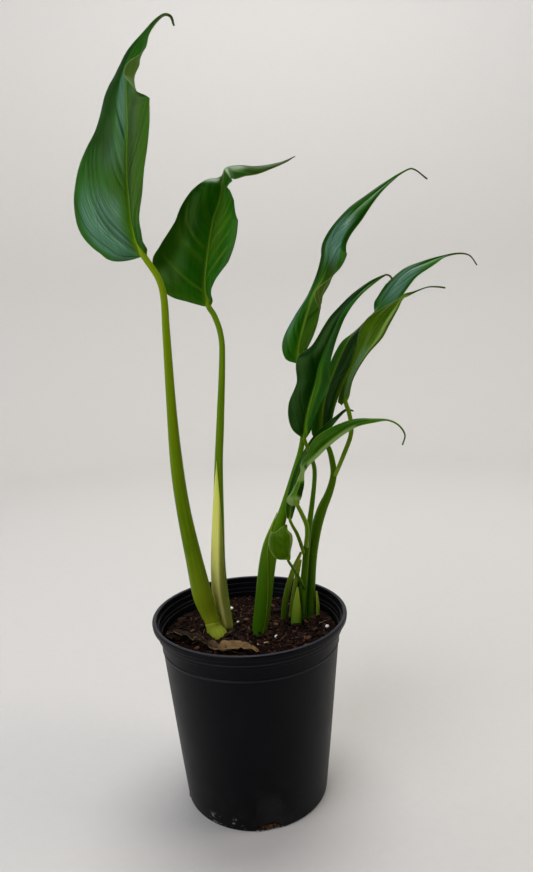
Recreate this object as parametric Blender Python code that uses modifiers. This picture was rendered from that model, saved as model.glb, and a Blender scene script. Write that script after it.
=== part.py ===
"""A young climbing monstera in a plain nursery pot.

Nine narrow leaf blades stand on their own stalks, in two groups that root in one pot of soil.
Every blade, stalk, sheath, the soil, the pot and the loose bits on the soil is a solid of its own.
Frame: metres, +Z up, origin at the centre of the pot's underside. The sizes below are in millimetres.
"""

import math

import bmesh
import bpy
import numpy as np
from mathutils import Vector, noise

MM = 0.001
GAP = 0.3  # clearance kept between two pieces that touch

# Pot: a 6.5 inch nursery pot, moulded in polypropylene
POT_HEIGHT = 160.0
POT_BASE_RADIUS = 61.5  # outside, just above the rounded bottom corner
POT_BODY_RADIUS = 76.8
POT_RIM_RADIUS = 82.5
POT_RIM_HEIGHT = 5.0
POT_LIP_WIDTH = 3.7
POT_WALL = 1.2
POT_FLOOR = 1.8
POT_CORNER = 2.4
CORNER_CUT = 0.3  # where the flat of the bottom corner starts, as a share of the corner
POT_MID_HEIGHT = 60.0
POT_EDGE_ROUND = 0.5  # small rounding where faces of the rim meet
BEAD_DEPTHS = (10.0, 24.0)  # how far each raised line lies below the top of the rim
BEAD_PROUD = 0.9
BEAD_HALF_HEIGHT = 0.9
LEDGE_DEPTH = 8.5  # how far the step inside the rim lies below it
LEDGE_STEP = 0.9
ROUND_STEPS = 48
DRAIN_HOLES = 4
DRAIN_RADIUS = 12.5
DRAIN_SUNK = 4.5  # how far each hole's centre lies below the pot's underside
DRAIN_FIRST_ANGLE = -80.5
DRAIN_DEPTH = 14.0

# Soil
SOIL_LEVEL = 141.5
SOIL_BUMP = 1.3
SOIL_BUMP_SIZE = 22.0
SOIL_TILT = 0.8  # how much higher the soil lies at the right wall than at the middle
SOIL_RINGS = 9

# Plant
BLADE_THICKNESS = 1.0
BLADE_ROWS = 26
BLADE_COLUMNS = 4
BLADE_CURL = 45.0  # how far each half blade bends between midrib and margin, in degrees
STRAP_BELLY = 0.10  # how far half a strap bulges, as a share of its width
SHEATH_THICKNESS = 1.0
SHEATH_ROWS = 10
SHEATH_COLUMNS = 6
SHEATH_TIP = 0.08  # width left at the point, as a share of the widest
STALK_STEP = 10.0

COLOURS = {
    "pot": (0.010, 0.011, 0.014),
    "soil": (0.020, 0.011, 0.007),
    "blade": (0.030, 0.110, 0.018),
    "stalk": (0.090, 0.170, 0.020),
    "sheath": (0.330, 0.420, 0.140),
    "dry": (0.270, 0.160, 0.070),
    "bark": (0.080, 0.035, 0.018),
    "perlite": (0.780, 0.750, 0.680),
}
ROUGHNESS = {"pot": 0.4, "soil": 0.95, "perlite": 0.9, "bark": 0.85, "dry": 0.8}
LEAF_ROUGHNESS = 0.45

# A blade is set out along its midrib, a smooth curve through a few places from base to tip.
# Each half has settings at shares of that length: share, reach, direction, lead. The reach is
# from the midrib to the margin. The direction is in degrees: 0 is sideways, 90 away from the
# front, -90 towards it. The lead is how far the margin runs ahead of the midrib. A roll gives
# the right half a bend of its own, so that its margin can turn over: share, bend in degrees.
BLADES = {
    "tall_leaf": {
        "midrib": (
            (-67, -14, 455),
            (-72, -14, 465),
            (-75, -12, 488),
            (-76, -9, 520),
            (-74, -5, 556),
            (-74, -2, 578),
            (-73, 1, 591),
            (-69, 4, 604),
            (-62, 5, 615),
            (-54, 6, 625),
            (-47, 7, 632),
            (-42, 8, 635),
            (-38, 9, 634),
            (-36, 10, 628),
        ),
        "left": (
            (0.00, 2, 0, 0),
            (0.02, 12, 20, 0),
            (0.05, 31, 20, 2),
            (0.10, 47, 20, 10),
            (0.17, 50, 20, 18),
            (0.25, 42, 20, 26),
            (0.36, 30, 25, 27),
            (0.50, 25, 30, 20),
            (0.62, 17, 35, 13),
            (0.70, 10, 35, 7),
            (0.80, 6, 30, 2),
            (0.91, 2, 30, 0),
            (1.00, 0.7, 0, 0),
        ),
        "right": (
            (0.00, 2, 0, 0),
            (0.02, 8, -50, -2),
            (0.10, 20, -65, -5),
            (0.25, 31, -60, -7),
            (0.36, 35, -55, -4),
            (0.50, 34, -50, 0),
            (0.57, 32, -50, -9),
            (0.62, 27, -65, -14),
            (0.68, 22, -80, -14),
            (0.74, 21, -70, -10),
            (0.80, 15, -50, -4),
            (0.86, 5, -45, -2),
            (0.91, 2, -30, 0),
            (1.00, 0.7, 0, 0),
        ),
        "roll": (
            (0.00, 45),
            (0.40, 45),
            (0.52, 30),
            (0.60, -30),
            (0.68, -130),
            (0.74, -130),
            (0.82, 0),
            (0.90, 45),
            (1.00, 45),
        ),
    },
    "back_leaf": {
        "midrib": (
            (-21, 3, 416),
            (-23, 5, 432),
            (-21, 7, 450),
            (-14, 11, 484),
            (-8, 13, 500),
            (-5, 15, 516),
            (-4, 19, 524),
            (0, 25, 528),
            (9, 34, 531),
            (21, 43, 532),
            (34, 51, 535),
            (46, 58, 539),
            (56, 64, 544),
        ),
        "left": (
            (0.00, 2, 20, 0),
            (0.05, 17, 10, -2),
            (0.10, 33, 5, -7),
            (0.18, 44, 5, -4),
            (0.27, 39, 5, -7),
            (0.36, 30, 5, -5),
            (0.45, 22, 0, 4),
            (0.50, 13, 10, 6),
            (0.54, 5, 70, 5),
            (0.58, 7, 105, 7),
            (0.63, 5, 120, 8),
            (0.70, 4, 120, 6),
            (0.86, 3, 115, 2),
            (1.00, 0.7, 115, 0),
        ),
        "right": (
            (0.00, 2, 0, 0),
            (0.05, 8, -55, -3),
            (0.10, 15, -55, -2),
            (0.18, 27, -45, 1),
            (0.36, 30, -45, -2),
            (0.45, 20, -50, -3),
            (0.50, 12, -50, -4),
            (0.54, 7, -45, -8),
            (0.58, 10, -20, -12),
            (0.63, 13, -15, -6),
            (0.70, 13, -30, -3),
            (0.78, 10, -35, -2),
            (0.86, 6, -35, -2),
            (1.00, 0.7, -35, 0),
        ),
    },
    "far_leaf": {
        "midrib": (
            (50, 14, 368),
            (50, 15, 378),
            (54, 16, 394),
            (59, 18, 410),
            (65, 19, 424),
            (72, 20, 435),
            (78, 22, 449),
            (81, 24, 464),
            (90, 27, 478),
            (102, 30, 490),
            (117, 33, 502),
            (133, 37, 514),
            (144, 40, 521),
            (153, 42, 524),
            (166, 45, 516),
        ),
        "left": (
            (0.00, 2, 30, -1),
            (0.04, 11, 15, -5),
            (0.12, 14, 15, -8),
            (0.20, 9, 20, -6),
            (0.27, 6, 50, -2),
            (0.33, 7, 40, 0),
            (0.40, 8, 30, 5),
            (0.55, 7, 35, 0),
            (0.64, 6, 30, 2),
            (0.82, 2, 30, 1),
            (0.88, 0.8, 0, 0),
            (1.00, 0.7, 0, 0),
        ),
        "right": (
            (0.00, 2, -30, 0),
            (0.04, 9, -45, 0),
            (0.12, 14, -45, 0),
            (0.20, 17, -60, 1),
            (0.27, 16, -90, -2),
            (0.33, 17, -80, -3),
            (0.40, 17, -55, -5),
            (0.47, 19, -45, -7),
            (0.55, 15, -40, -9),
            (0.64, 11, -30, -3),
            (0.73, 5, -40, 2),
            (0.82, 2, -30, 0),
            (0.88, 0.8, 0, 0),
            (1.00, 0.7, 0, 0),
        ),
        "roll": (
            (0.00, 45),
            (0.09, 45),
            (0.16, -60),
            (0.20, -120),
            (0.27, -170),
            (0.33, -135),
            (0.37, -65),
            (0.43, 45),
            (1.00, 45),
        ),
    },
    "front_leaf": {
        "midrib": (
            (51, -14, 308),
            (52, -14, 318),
            (56, -13, 334),
            (62, -12, 353),
            (66, -11, 368),
            (80, -9, 398),
            (90, -8, 412),
            (104, -6, 425),
            (120, -3, 434),
            (124, -2, 433),
            (126, -2, 429),
        ),
        "left": (
            (0.00, 1, 0, 0),
            (0.07, 12, 20, -3),
            (0.17, 17, 20, -4),
            (0.29, 15, 15, -4),
            (0.39, 19, 15, -2),
            (0.49, 12, 30, -5),
            (0.60, 9, 35, -3),
            (0.71, 6, 45, 1),
            (0.83, 3, 45, 0),
            (0.94, 0.7, 0, 0),
            (1.00, 0.7, 0, 0),
        ),
        "right": (
            (0.00, 2, 0, 1),
            (0.07, 8, -50, 1),
            (0.17, 14, -55, 4),
            (0.29, 17, -55, 0),
            (0.39, 14, -65, 3),
            (0.60, 8, -65, 3),
            (0.71, 5, -60, 2),
            (0.83, 3, -45, 0),
            (0.94, 0.7, 0, 0),
            (1.00, 0.7, 0, 0),
        ),
    },
    "long_leaf": {
        "midrib": (
            (68, 21, 300),
            (68, 21, 313),
            (71, 22, 334),
            (78, 23, 354),
            (93, 26, 384),
            (104, 28, 396),
            (117, 30, 408),
            (126, 31, 419),
            (135, 33, 430),
            (147, 36, 440),
            (164, 40, 447),
            (180, 44, 452),
            (193, 46, 454),
            (203, 48, 452),
            (210, 50, 444),
        ),
        "left": (
            (0.00, 2, 25, 1),
            (0.05, 8, 10, -6),
            (0.14, 8, 15, -5),
            (0.23, 7, 30, -7),
            (0.30, 7, 40, -5),
            (0.37, 6, 50, -2),
            (0.44, 5, 120, -5),
            (0.52, 4, 120, -5),
            (0.58, 6, 35, -7),
            (0.70, 5, 35, -3),
            (0.78, 3, 30, -3),
            (0.85, 1, 0, 0),
            (1.00, 0.7, 0, 0),
        ),
        "right": (
            (0.00, 2, -25, 0),
            (0.05, 8, -30, -1),
            (0.14, 12, -35, 2),
            (0.23, 14, -40, 0),
            (0.30, 16, -40, -3),
            (0.37, 14, -45, -1),
            (0.44, 13, -55, 0),
            (0.52, 14, -45, 0),
            (0.63, 12, -30, 1),
            (0.70, 9, -30, 4),
            (0.78, 6, -45, 4),
            (0.85, 2, -50, 2),
            (0.92, 0.7, 0, 0),
            (1.00, 0.7, 0, 0),
        ),
    },
    "bright_leaf": {
        "midrib": (
            (86, -2, 336),
            (88, -3, 343),
            (92, -3, 356),
            (99, -3, 371),
            (106, -3, 384),
            (114, -2, 397),
            (124, -1, 408),
            (134, 1, 416),
            (144, 6, 420),
            (156, 8, 424),
            (164, 9, 424),
            (171, 10, 423),
        ),
        "left": (
            (0.00, 2, 35, -5),
            (0.06, 7, 40, -10),
            (0.16, 8, 65, -3),
            (0.28, 7, 70, -1),
            (0.39, 11, 40, -1),
            (0.50, 11, 35, -3),
            (0.61, 8, 55, -5),
            (0.70, 6, 85, -1),
            (0.79, 1, 40, 1),
            (1.00, 0.7, 0, 0),
        ),
        "right": (
            (0.00, 2, 5, 1),
            (0.06, 3, -60, 2),
            (0.16, 5, -70, 2),
            (0.28, 7, -60, 2),
            (0.39, 11, -45, 5),
            (0.50, 10, -45, 4),
            (0.61, 7, -55, 3),
            (0.70, 4, -80, 1),
            (0.79, 1, -40, -1),
            (1.00, 0.7, 0, 0),
        ),
    },
    "low_leaf": {
        "midrib": (
            (43, -22, 256),
            (41, -24, 261),
            (43, -23, 267),
            (45, -25, 272),
            (47, -24, 279),
            (50, -24, 289),
            (59, -24, 298),
            (68, -24, 306),
            (79, -25, 314),
            (91, -26, 320),
            (104, -28, 322),
            (115, -29, 322),
            (123, -30, 318),
            (128, -30, 310),
            (126, -30, 302),
        ),
        "left": (
            (0.00, 2, 10, 0),
            (0.04, 8, 40, -3),
            (0.09, 6, 55, -2),
            (0.13, 7, 65, -2),
            (0.18, 5, 60, -2),
            (0.21, 4, 70, 0),
            (0.26, 6, 70, -3),
            (0.31, 6, 55, 0),
            (0.35, 8, 30, 1),
            (0.43, 9, 25, 0),
            (0.62, 5, 40, -1),
            (0.72, 2, 25, 0),
            (0.81, 0.8, 0, 0),
            (1.00, 0.7, 0, 0),
        ),
        "right": (
            (0.00, 2, 0, 0),
            (0.04, 5, -10, 0),
            (0.13, 4, -30, 1),
            (0.21, 3, -60, 0),
            (0.26, 4, -50, -2),
            (0.35, 5, -55, 1),
            (0.53, 4, -45, 2),
            (0.72, 2, -30, 0),
            (0.81, 0.8, 0, 0),
            (1.00, 0.7, 0, 0),
        ),
    },
    "hidden_leaf": {
        "midrib": (
            (37, -5, 240),
            (38, -8, 250),
            (42, -9, 270),
            (49, -9, 289),
            (58, -7, 304),
            (70, -5, 316),
            (81, 3, 324),
            (88, 6, 328),
            (94, 9, 326),
        ),
        "left": (
            (0.00, 2, 10, 0),
            (0.09, 4, 15, -1),
            (0.26, 4, 30, -2),
            (0.73, 2, 25, 0),
            (0.87, 1, 0, 0),
            (1.00, 0.7, 0, 0),
        ),
        "right": (
            (0.00, 2, 5, 0),
            (0.09, 4, 15, 0),
            (0.26, 5, 25, 0),
            (0.59, 5, 25, 0),
            (0.73, 4, 15, 1),
            (0.87, 2, -10, 1),
            (1.00, 0.7, 0, 0),
        ),
    },
    "spoon_leaf": {
        "midrib": (
            (34, -15, 208),
            (33, -17, 214),
            (32, -18, 221),
            (32, -18, 228),
            (32, -16, 233),
            (34, -14, 238),
        ),
        "left": (
            (0.00, 1, 10, 1),
            (0.18, 10, 20, -4),
            (0.40, 15, 25, 0),
            (0.64, 12, 25, 5),
            (0.80, 5, 25, 2),
            (1.00, 0.7, 0, 0),
        ),
        "right": (
            (0.00, 2, 0, 0),
            (0.18, 4, 30, 0),
            (0.40, 7, 25, 1),
            (0.64, 7, 25, 2),
            (0.80, 3, 5, 2),
            (1.00, 0.7, 0, 0),
        ),
    },
}
NO_ROLL = ((0.0, BLADE_CURL), (1.0, BLADE_CURL))

# Each stalk runs from its blade down to where it roots or joins another: x, y, z, radius.
STALKS = {
    "tall_stalk": (
        (-67, -14, 455, 2.4),
        (-57, -14, 438, 2.5),
        (-54, -13, 424, 2.7),
        (-54, -12, 400, 3.0),
        (-54, -10, 334, 4.0),
        (-53, -8, 288, 5.2),
        (-50, -6, 250, 5.8),
        (-44, -5, 208, 7.0),
        (-39, -4, 177, 8.2),
        (-35, -2, 161, 7.2),
        (-32, -2, 151, 6.2),
    ),
    "back_stalk": (
        (-21, 3, 416, 2.2),
        (-17, 4, 409, 2.3),
        (-13, 4, 396, 2.3),
        (-12, 4, 381, 2.4),
        (-17, 5, 320, 3.2),
        (-20, 6, 288, 3.5),
        (-23, 7, 238, 4.8),
        (-25, 8, 202, 5.8),
        (-25, 10, 176, 6.5),
        (-21, 11, 136, 5.5),
    ),
    "thick_stalk": (
        (50, 14, 368, 1.9),
        (52, 13, 349, 2.0),
        (52, 10, 322, 2.1),
        (50, 8, 300, 2.2),
        (42, 4, 274, 3.0),
        (32, 0, 245, 4.0),
        (27, -2, 232, 5.4),
        (21, -3, 217, 6.3),
        (17, -4, 200, 6.6),
        (11, -5, 160, 6.4),
        (8, -5, 144, 5.7),
    ),
    "front_stalk": (
        (51, -14, 308, 1.5),
        (54, -12, 299, 1.6),
        (57, -9, 290, 1.7),
        (59, -5, 280, 1.8),
        (58, 0, 262, 1.9),
        (52, 10, 216, 2.7),
        (49, 14, 188, 3.0),
        (44, 17, 141, 3.5),
    ),
    "long_stalk": (
        (68, 21, 300, 1.6),
        (73, 20, 295, 2.1),
        (76, 20, 284, 2.5),
        (77, 19, 271, 2.8),
        (73, 19, 256, 3.3),
        (66, 20, 240, 4.3),
        (60, 21, 220, 4.7),
        (56, 23, 192, 4.2),
        (53, 25, 142, 3.9),
    ),
    "bright_stalk": (
        (86, -2, 336, 1.7),
        (89, -1, 326, 1.8),
        (91, 2, 313, 1.9),
        (90, 5, 304, 1.9),
        (86, 9, 292, 1.9),
        (78, 17, 270, 1.7),
    ),
    "low_stalk": (
        (43, -22, 256, 1.6),
        (47, -15, 246, 1.8),
        (51, -6, 233, 1.9),
        (51, 9, 211, 1.9),
    ),
    "hidden_stalk": (
        (37, -5, 240, 1.2),
        (39, -3, 234, 1.3),
        (43, 1, 225, 1.5),
        (49, 12, 203, 1.6),
    ),
    "spoon_stalk": (
        (34, -15, 208, 1.1),
        (38, -9, 199, 1.2),
        (42, -3, 190, 1.3),
        (48, 14, 171, 1.5),
    ),
}

# Stems and grown straps rooted in the soil that carry no blade of their own: x, y, z, radius.
STEMS = {
    "left_stem": (
        (-32.4, -2, 152, 6.1),
        (-31, -3, 147, 6.6),
        (-27.5, -5, 139, 8.5),
        (-27, -5, 118, 6.5),
    ),
}
ROOT_DEPTH = 22.0  # how far a rooted stalk goes down into the soil
ROOT_TAPER = 0.8
ROOTED = ("back_stalk", "thick_stalk", "front_stalk", "long_stalk")
# A stalk that springs from another: it is cut back to leave the gap to its carrier.
CARRIED = {
    "bright_stalk": "long_stalk",
    "low_stalk": "front_stalk",
    "hidden_stalk": "front_stalk",
    "spoon_stalk": "front_stalk",
    "left_stem": "tall_stalk",
}
OWN_STALK = {
    "tall_leaf": "tall_stalk",
    "back_leaf": "back_stalk",
    "far_leaf": "thick_stalk",
    "front_leaf": "front_stalk",
    "long_leaf": "long_stalk",
    "bright_leaf": "bright_stalk",
    "low_leaf": "low_stalk",
    "hidden_leaf": "hidden_stalk",
    "spoon_leaf": "spoon_stalk",
}

# A sheath is a strip wrapped on a stalk: from height, to height, middle angle, widest half angle.
SHEATHS = {
    "pale_sheath": ("back_stalk", 155.0, 290.0, -110.0, 76.0),
    "thick_stalk_sheath": ("thick_stalk", 152.0, 243.0, 175.0, 125.0),
}

# Free straps: old leaf bases that lean on the right group. Edge, middle, edge, from root to point.
STRAPS = {
    "outer_strap": (
        ((25.5, 22, 132), (27.5, 21, 132), (30, 22, 132)),
        ((28.5, 18, 160), (31, 17, 160), (34, 18, 160)),
        ((36, 12.5, 188), (38.5, 11.5, 188), (41, 12.5, 188)),
        ((45, 6, 208), (46, 5.5, 207.5), (47, 6, 207)),
    ),
    "inner_strap": (
        ((32.5, 24, 132), (35, 22.5, 132), (37.5, 24, 132)),
        ((35.5, 20, 158), (38, 18.5, 158), (40.5, 20, 158)),
        ((40, 15, 183), (42, 14, 183), (44, 15, 183)),
        ((44.5, 10, 200), (45.5, 9.5, 199.5), (46.5, 10, 199)),
    ),
    "pointed_sheath": (
        ((34, 12, 132), (38.5, 8, 132), (43, 9.5, 132)),
        ((36, 11, 150), (40, 7.5, 150), (44.5, 9.5, 150)),
        ((38.5, 10, 164), (41, 8.5, 164), (43.5, 10, 164)),
        ((41.5, 9.5, 175), (42, 9, 175), (42.5, 9.5, 175)),
    ),
    "right_strap": (
        ((58.5, 26, 132), (60, 25, 132), (61.5, 26, 132)),
        ((58.5, 23.5, 150), (60, 22.5, 150), (61.5, 23.5, 150)),
        ((58.5, 20.5, 166), (59, 20, 166), (59.5, 20.5, 166)),
    ),
}

# The fallen leaf lies in a trough of the soil: left margin, midrib, right margin.
DRY_LEAF = (
    ((-71, -5, 147), (-71, -7, 146), (-71, -9, 147)),
    ((-60, -4, 146), (-60, -8, 143), (-58, -15, 147)),
    ((-44, -12, 146), (-44, -17, 142), (-43, -24, 147)),
    ((-31, -24, 146), (-31, -30, 142), (-30, -39, 147)),
    ((-20, -26, 146), (-20, -33, 142), (-18, -49, 148)),
    ((-8, -25, 146), (-8, -32, 142), (-5, -44, 147)),
    ((1, -34, 146), (2, -38, 143), (2, -46, 147)),
    ((7, -45, 147), (7, -47, 146), (6, -49, 147)),
)
DRY_LEAF_ROWS = 16

# Loose bits pressed into the soil: x, y, length, width, height, turn in degrees.
PERLITE = {
    "perlite_back": (-19.5, 52.0, 4.2, 3.6, 3.2, 20.0),
    "perlite_middle": (-11.5, 17.0, 3.6, 3.0, 2.8, 65.0),
    "perlite_front": (22.0, -17.5, 4.0, 3.4, 3.0, 130.0),
    "perlite_right": (66.0, 2.5, 3.8, 3.6, 3.0, 10.0),
}
BARK = {
    "bark_chip_left": (-58.0, 38.0, 12.0, 7.0, 3.6, 35.0),
    "bark_chip_front": (42.0, -15.0, 10.0, 6.0, 3.4, 100.0),
    "bark_chip_back": (12.0, 46.0, 11.0, 6.5, 3.6, 160.0),
}
LUMP_ROUGHNESS = 0.33
LUMP_GRAIN = 3.0  # how fine the roughness of a grain is
LUMP_LIFT = 1 / 6  # how far a grain's middle lies over the soil, as a share of its height
TWIG = ((6.0, -28.0), (15.0, -25.0))
TWIG_RADIUS = 1.0
TWIG_TAPER = 0.75  # the far end's radius, as a share of the near end's
TWIG_LIFT = 0.4  # how far the twig's middle lies over the soil
TWIG_ROWS = 5


def clear_scene():
    for thing in list(bpy.data.objects):
        bpy.data.objects.remove(thing, do_unlink=True)


def collection(name):
    group = bpy.data.collections.new(name)
    bpy.context.scene.collection.children.link(group)
    return group


def material(name, colour, roughness):
    finish = bpy.data.materials.new(name)
    finish.use_nodes = True
    shader = finish.node_tree.nodes["Principled BSDF"]
    shader.inputs["Base Color"].default_value = (*colour, 1.0)
    shader.inputs["Roughness"].default_value = roughness
    shader.inputs["Metallic"].default_value = 0.0
    return finish


def add_object(name, mesh, group, finish=None):
    thing = bpy.data.objects.new(name, mesh)
    group.objects.link(thing)
    if finish is not None:
        mesh.materials.append(finish)
    return thing


def mesh_from(name, verts, faces):
    """A smooth mesh from places in millimetres."""
    mesh = bpy.data.meshes.new(name)
    mesh.from_pydata((np.asarray(verts) * MM).tolist(), [], faces)
    mesh.shade_smooth()
    return mesh


def unit(vectors):
    return vectors / np.linalg.norm(vectors, axis=-1, keepdims=True)


def curve_through(knots, values, places):
    """Catmull-Rom curves through the values at their knots, read at the given places."""
    knots = np.asarray(knots, dtype=float)
    values = np.asarray(values, dtype=float)
    padded = np.concatenate([[2 * values[0] - values[1]], values, [2 * values[-1] - values[-2]]])
    padded_knots = np.concatenate([[2 * knots[0] - knots[1]], knots, [2 * knots[-1] - knots[-2]]])
    column = (-1,) + (1,) * (values.ndim - 1)
    slopes = (padded[2:] - padded[:-2]) / (padded_knots[2:] - padded_knots[:-2]).reshape(column)
    span = np.clip(np.searchsorted(knots, places, side="right") - 1, 0, len(knots) - 2)
    width = (knots[span + 1] - knots[span]).reshape(column)
    t = (places - knots[span]).reshape(column) / width
    return (
        (2 * t**3 - 3 * t**2 + 1) * values[span]
        + (t**3 - 2 * t**2 + t) * width * slopes[span]
        + (3 * t**2 - 2 * t**3) * values[span + 1]
        + (t**3 - t**2) * width * slopes[span + 1]
    )


def smooth_rows(stations, rows):
    """Smooth rails through the stations, read at even steps of the mean rail's length."""
    points = np.asarray(stations, dtype=float)
    steps = np.linalg.norm(np.diff(points, axis=0), axis=2).mean(axis=1)
    knots = np.concatenate([[0.0], np.cumsum(steps)])
    return curve_through(knots, points, np.linspace(0.0, knots[-1], rows))


def smooth_line(points, rows):
    """One smooth line through the points, read at even steps of its length."""
    points = np.asarray(points, dtype=float)
    steps = np.linalg.norm(np.diff(points[:, :3], axis=0), axis=1)
    knots = np.concatenate([[0.0], np.cumsum(steps)])
    return curve_through(knots, points, np.linspace(0.0, knots[-1], rows))


def blade_rails(setting, rows):
    """Left margin, left half, midrib, right half and right margin on each row of a blade.

    Each margin stands off the midrib by its settings. The place half-way to it lies on the arc
    that turns by the curl between midrib and margin: its chord is the reach over twice the
    cosine of a quarter of the curl, and its direction is short of the margin's by that quarter.
    """
    shares = np.linspace(0.0, 1.0, rows)
    midrib = smooth_line(setting["midrib"], rows)
    ahead = unit(np.gradient(midrib, axis=0))
    sideways = unit(np.cross((0.0, 1.0, 0.0), ahead))
    away = np.cross(ahead, sideways)
    bends = np.asarray(setting.get("roll", NO_ROLL), dtype=float)
    rolled = curve_through(bends[:, 0], bends[:, 1], shares)
    rails = {0: midrib}
    for side, half, curl in ((-1, "left", BLADE_CURL), (1, "right", rolled)):
        keys = np.asarray(setting[half], dtype=float)
        reach, direction, lead = curve_through(keys[:, 0], keys[:, 1:], shares).T
        quarter = np.radians(curl) / 4
        direction = np.radians(direction)
        for part, length, angle in (
            (1, reach / (2 * np.cos(quarter)), direction - quarter),
            (2, reach, direction),
        ):
            rails[side * part] = (
                midrib
                + (side * length * np.cos(angle))[:, None] * sideways
                + (length * np.sin(angle))[:, None] * away
                + (lead * part / 2)[:, None] * ahead
            )
    return np.stack([rails[place] for place in (-2, -1, 0, 1, 2)], axis=1)


def with_halves(stations, belly):
    """Five places per station: each half gets one midway to its edge, pushed out by the belly."""
    full = []
    for index, station in enumerate(stations):
        left, mid, right = (np.asarray(place, dtype=float) for place in station)
        ahead = np.asarray(stations[min(index + 1, len(stations) - 1)][1], dtype=float)
        behind = np.asarray(stations[max(index - 1, 0)][1], dtype=float)
        left_out = np.cross(ahead - behind, left - mid)
        right_out = np.cross(right - mid, ahead - behind)
        left_half = (left + mid) / 2 + swell(left_out, left - mid, belly)
        right_half = (right + mid) / 2 + swell(right_out, right - mid, belly)
        full.append((left, left_half, mid, right_half, right))
    return full


def swell(direction, reach, belly):
    """How far a half blade bulges: a share of its own width along the given direction."""
    length = np.linalg.norm(direction)
    if length < 1e-9:
        return np.zeros(3)
    return direction / length * np.linalg.norm(reach) * belly


def section(row, columns):
    """One row of the blade: each half is the parabola through its three places."""
    places = []
    for step in range(-columns // 2, columns // 2 + 1):
        share = abs(step) / (columns / 2)
        half, edge = (row[1], row[0]) if step < 0 else (row[3], row[4])
        mid_weight = 2 * (share - 0.5) * (share - 1)
        half_weight = 4 * share * (1 - share)
        edge_weight = 2 * share * (share - 0.5)
        places.append(mid_weight * row[2] + half_weight * half + edge_weight * edge)
    return places


def grid_faces(rows, columns):
    """Quads of a grid with rows by columns places."""
    faces = []
    for row in range(rows - 1):
        for column in range(columns - 1):
            corner = row * columns + column
            faces.append((corner, corner + columns, corner + columns + 1, corner + 1))
    return faces


def thicken(thing, thickness, offset=0.0):
    shell = thing.modifiers.new("thickness", "SOLIDIFY")
    shell.thickness = thickness * MM
    shell.offset = offset
    shell.use_rim = True


def blade(name, rails, group, finish, columns=BLADE_COLUMNS):
    """A blade or strap: a loft over five rails, thickened to a closed sheet."""
    verts = [place for row in rails for place in section(row, columns)]
    mesh = mesh_from(name, verts, grid_faces(len(rails), columns + 1))
    thing = add_object(name, mesh, group, finish)
    thicken(thing, BLADE_THICKNESS)
    return thing


def bedded(name, stations, group, cutters, finish, soil, rows):
    """A strap with its foot or its belly in the soil, which is cut back to clear it."""
    blade(name, smooth_rows(with_halves(stations, STRAP_BELLY), rows), group, finish)
    clear = smooth_rows(with_halves(widened(stations), STRAP_BELLY), rows)
    wide = blade(name + "_clear", clear, cutters, None)
    wide.modifiers["thickness"].thickness = (BLADE_THICKNESS + 2 * GAP) * MM
    cut(soil, hide_cutter(wide))


def widened(stations):
    """The same stations with the edges moved out by the gap and the foot moved down."""
    wide = []
    for left, mid, right in np.asarray(stations, dtype=float):
        out_left = (left - mid) / np.linalg.norm(left - mid) * GAP
        out_right = (right - mid) / np.linalg.norm(right - mid) * GAP
        wide.append((left + out_left, mid, right + out_right))
    wide[0] = tuple(place - (0.0, 0.0, GAP * 2) for place in wide[0])
    return wide


def stalk_rows(name):
    """The smooth centre line of a stalk and its radius, rooted stalks running on into the soil."""
    points = [list(point) for point in (STALKS.get(name) or STEMS[name])]
    if name in ROOTED:
        last = points[-1]
        points.append([last[0], last[1], SOIL_LEVEL - ROOT_DEPTH, last[3] * ROOT_TAPER])
    line = np.asarray(points, dtype=float)
    length = np.linalg.norm(np.diff(line[:, :3], axis=0), axis=1).sum()
    return smooth_line(line, max(5, int(length / STALK_STEP) + 1))


def tube(name, rows, group, finish=None, extra=0.0, end_extra=0.0):
    """A round stalk: a curve with a bevel and filled caps, made a mesh and welded."""
    rows = np.array(rows)
    for end, inner in ((0, 1), (-1, -2)):
        outward = rows[end, :3] - rows[inner, :3]
        rows[end, :3] += outward / np.linalg.norm(outward) * end_extra
    curve = bpy.data.curves.new(name, "CURVE")
    curve.dimensions = "3D"
    curve.bevel_depth = MM
    curve.bevel_resolution = 2
    curve.use_fill_caps = True
    spline = curve.splines.new("POLY")
    spline.points.add(len(rows) - 1)
    for point, row in zip(spline.points, rows):
        point.co = (*(row[:3] * MM), 1.0)
        point.radius = row[3] + extra
    holder = add_object(name + "_line", curve, group)
    bpy.context.view_layer.update()
    evaluated = holder.evaluated_get(bpy.context.evaluated_depsgraph_get())
    mesh = bpy.data.meshes.new_from_object(evaluated)
    place = holder.matrix_world.copy()
    bpy.data.objects.remove(holder, do_unlink=True)
    bpy.data.curves.remove(curve)
    weld(mesh)
    thing = add_object(name, mesh, group, finish)
    thing.matrix_world = place
    return thing


def weld(mesh):
    body = bmesh.new()
    body.from_mesh(mesh)
    bmesh.ops.remove_doubles(body, verts=body.verts, dist=0.00001)
    bmesh.ops.recalc_face_normals(body, faces=body.faces)
    body.to_mesh(mesh)
    body.free()
    mesh.shade_smooth()


def hide_cutter(thing):
    thing.hide_render = True
    thing.display_type = "WIRE"
    return thing


def cut(thing, cutter, solver="EXACT"):
    boolean = thing.modifiers.new("clear_" + cutter.name, "BOOLEAN")
    boolean.operation = "DIFFERENCE"
    boolean.solver = solver
    boolean.object = cutter


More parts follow.
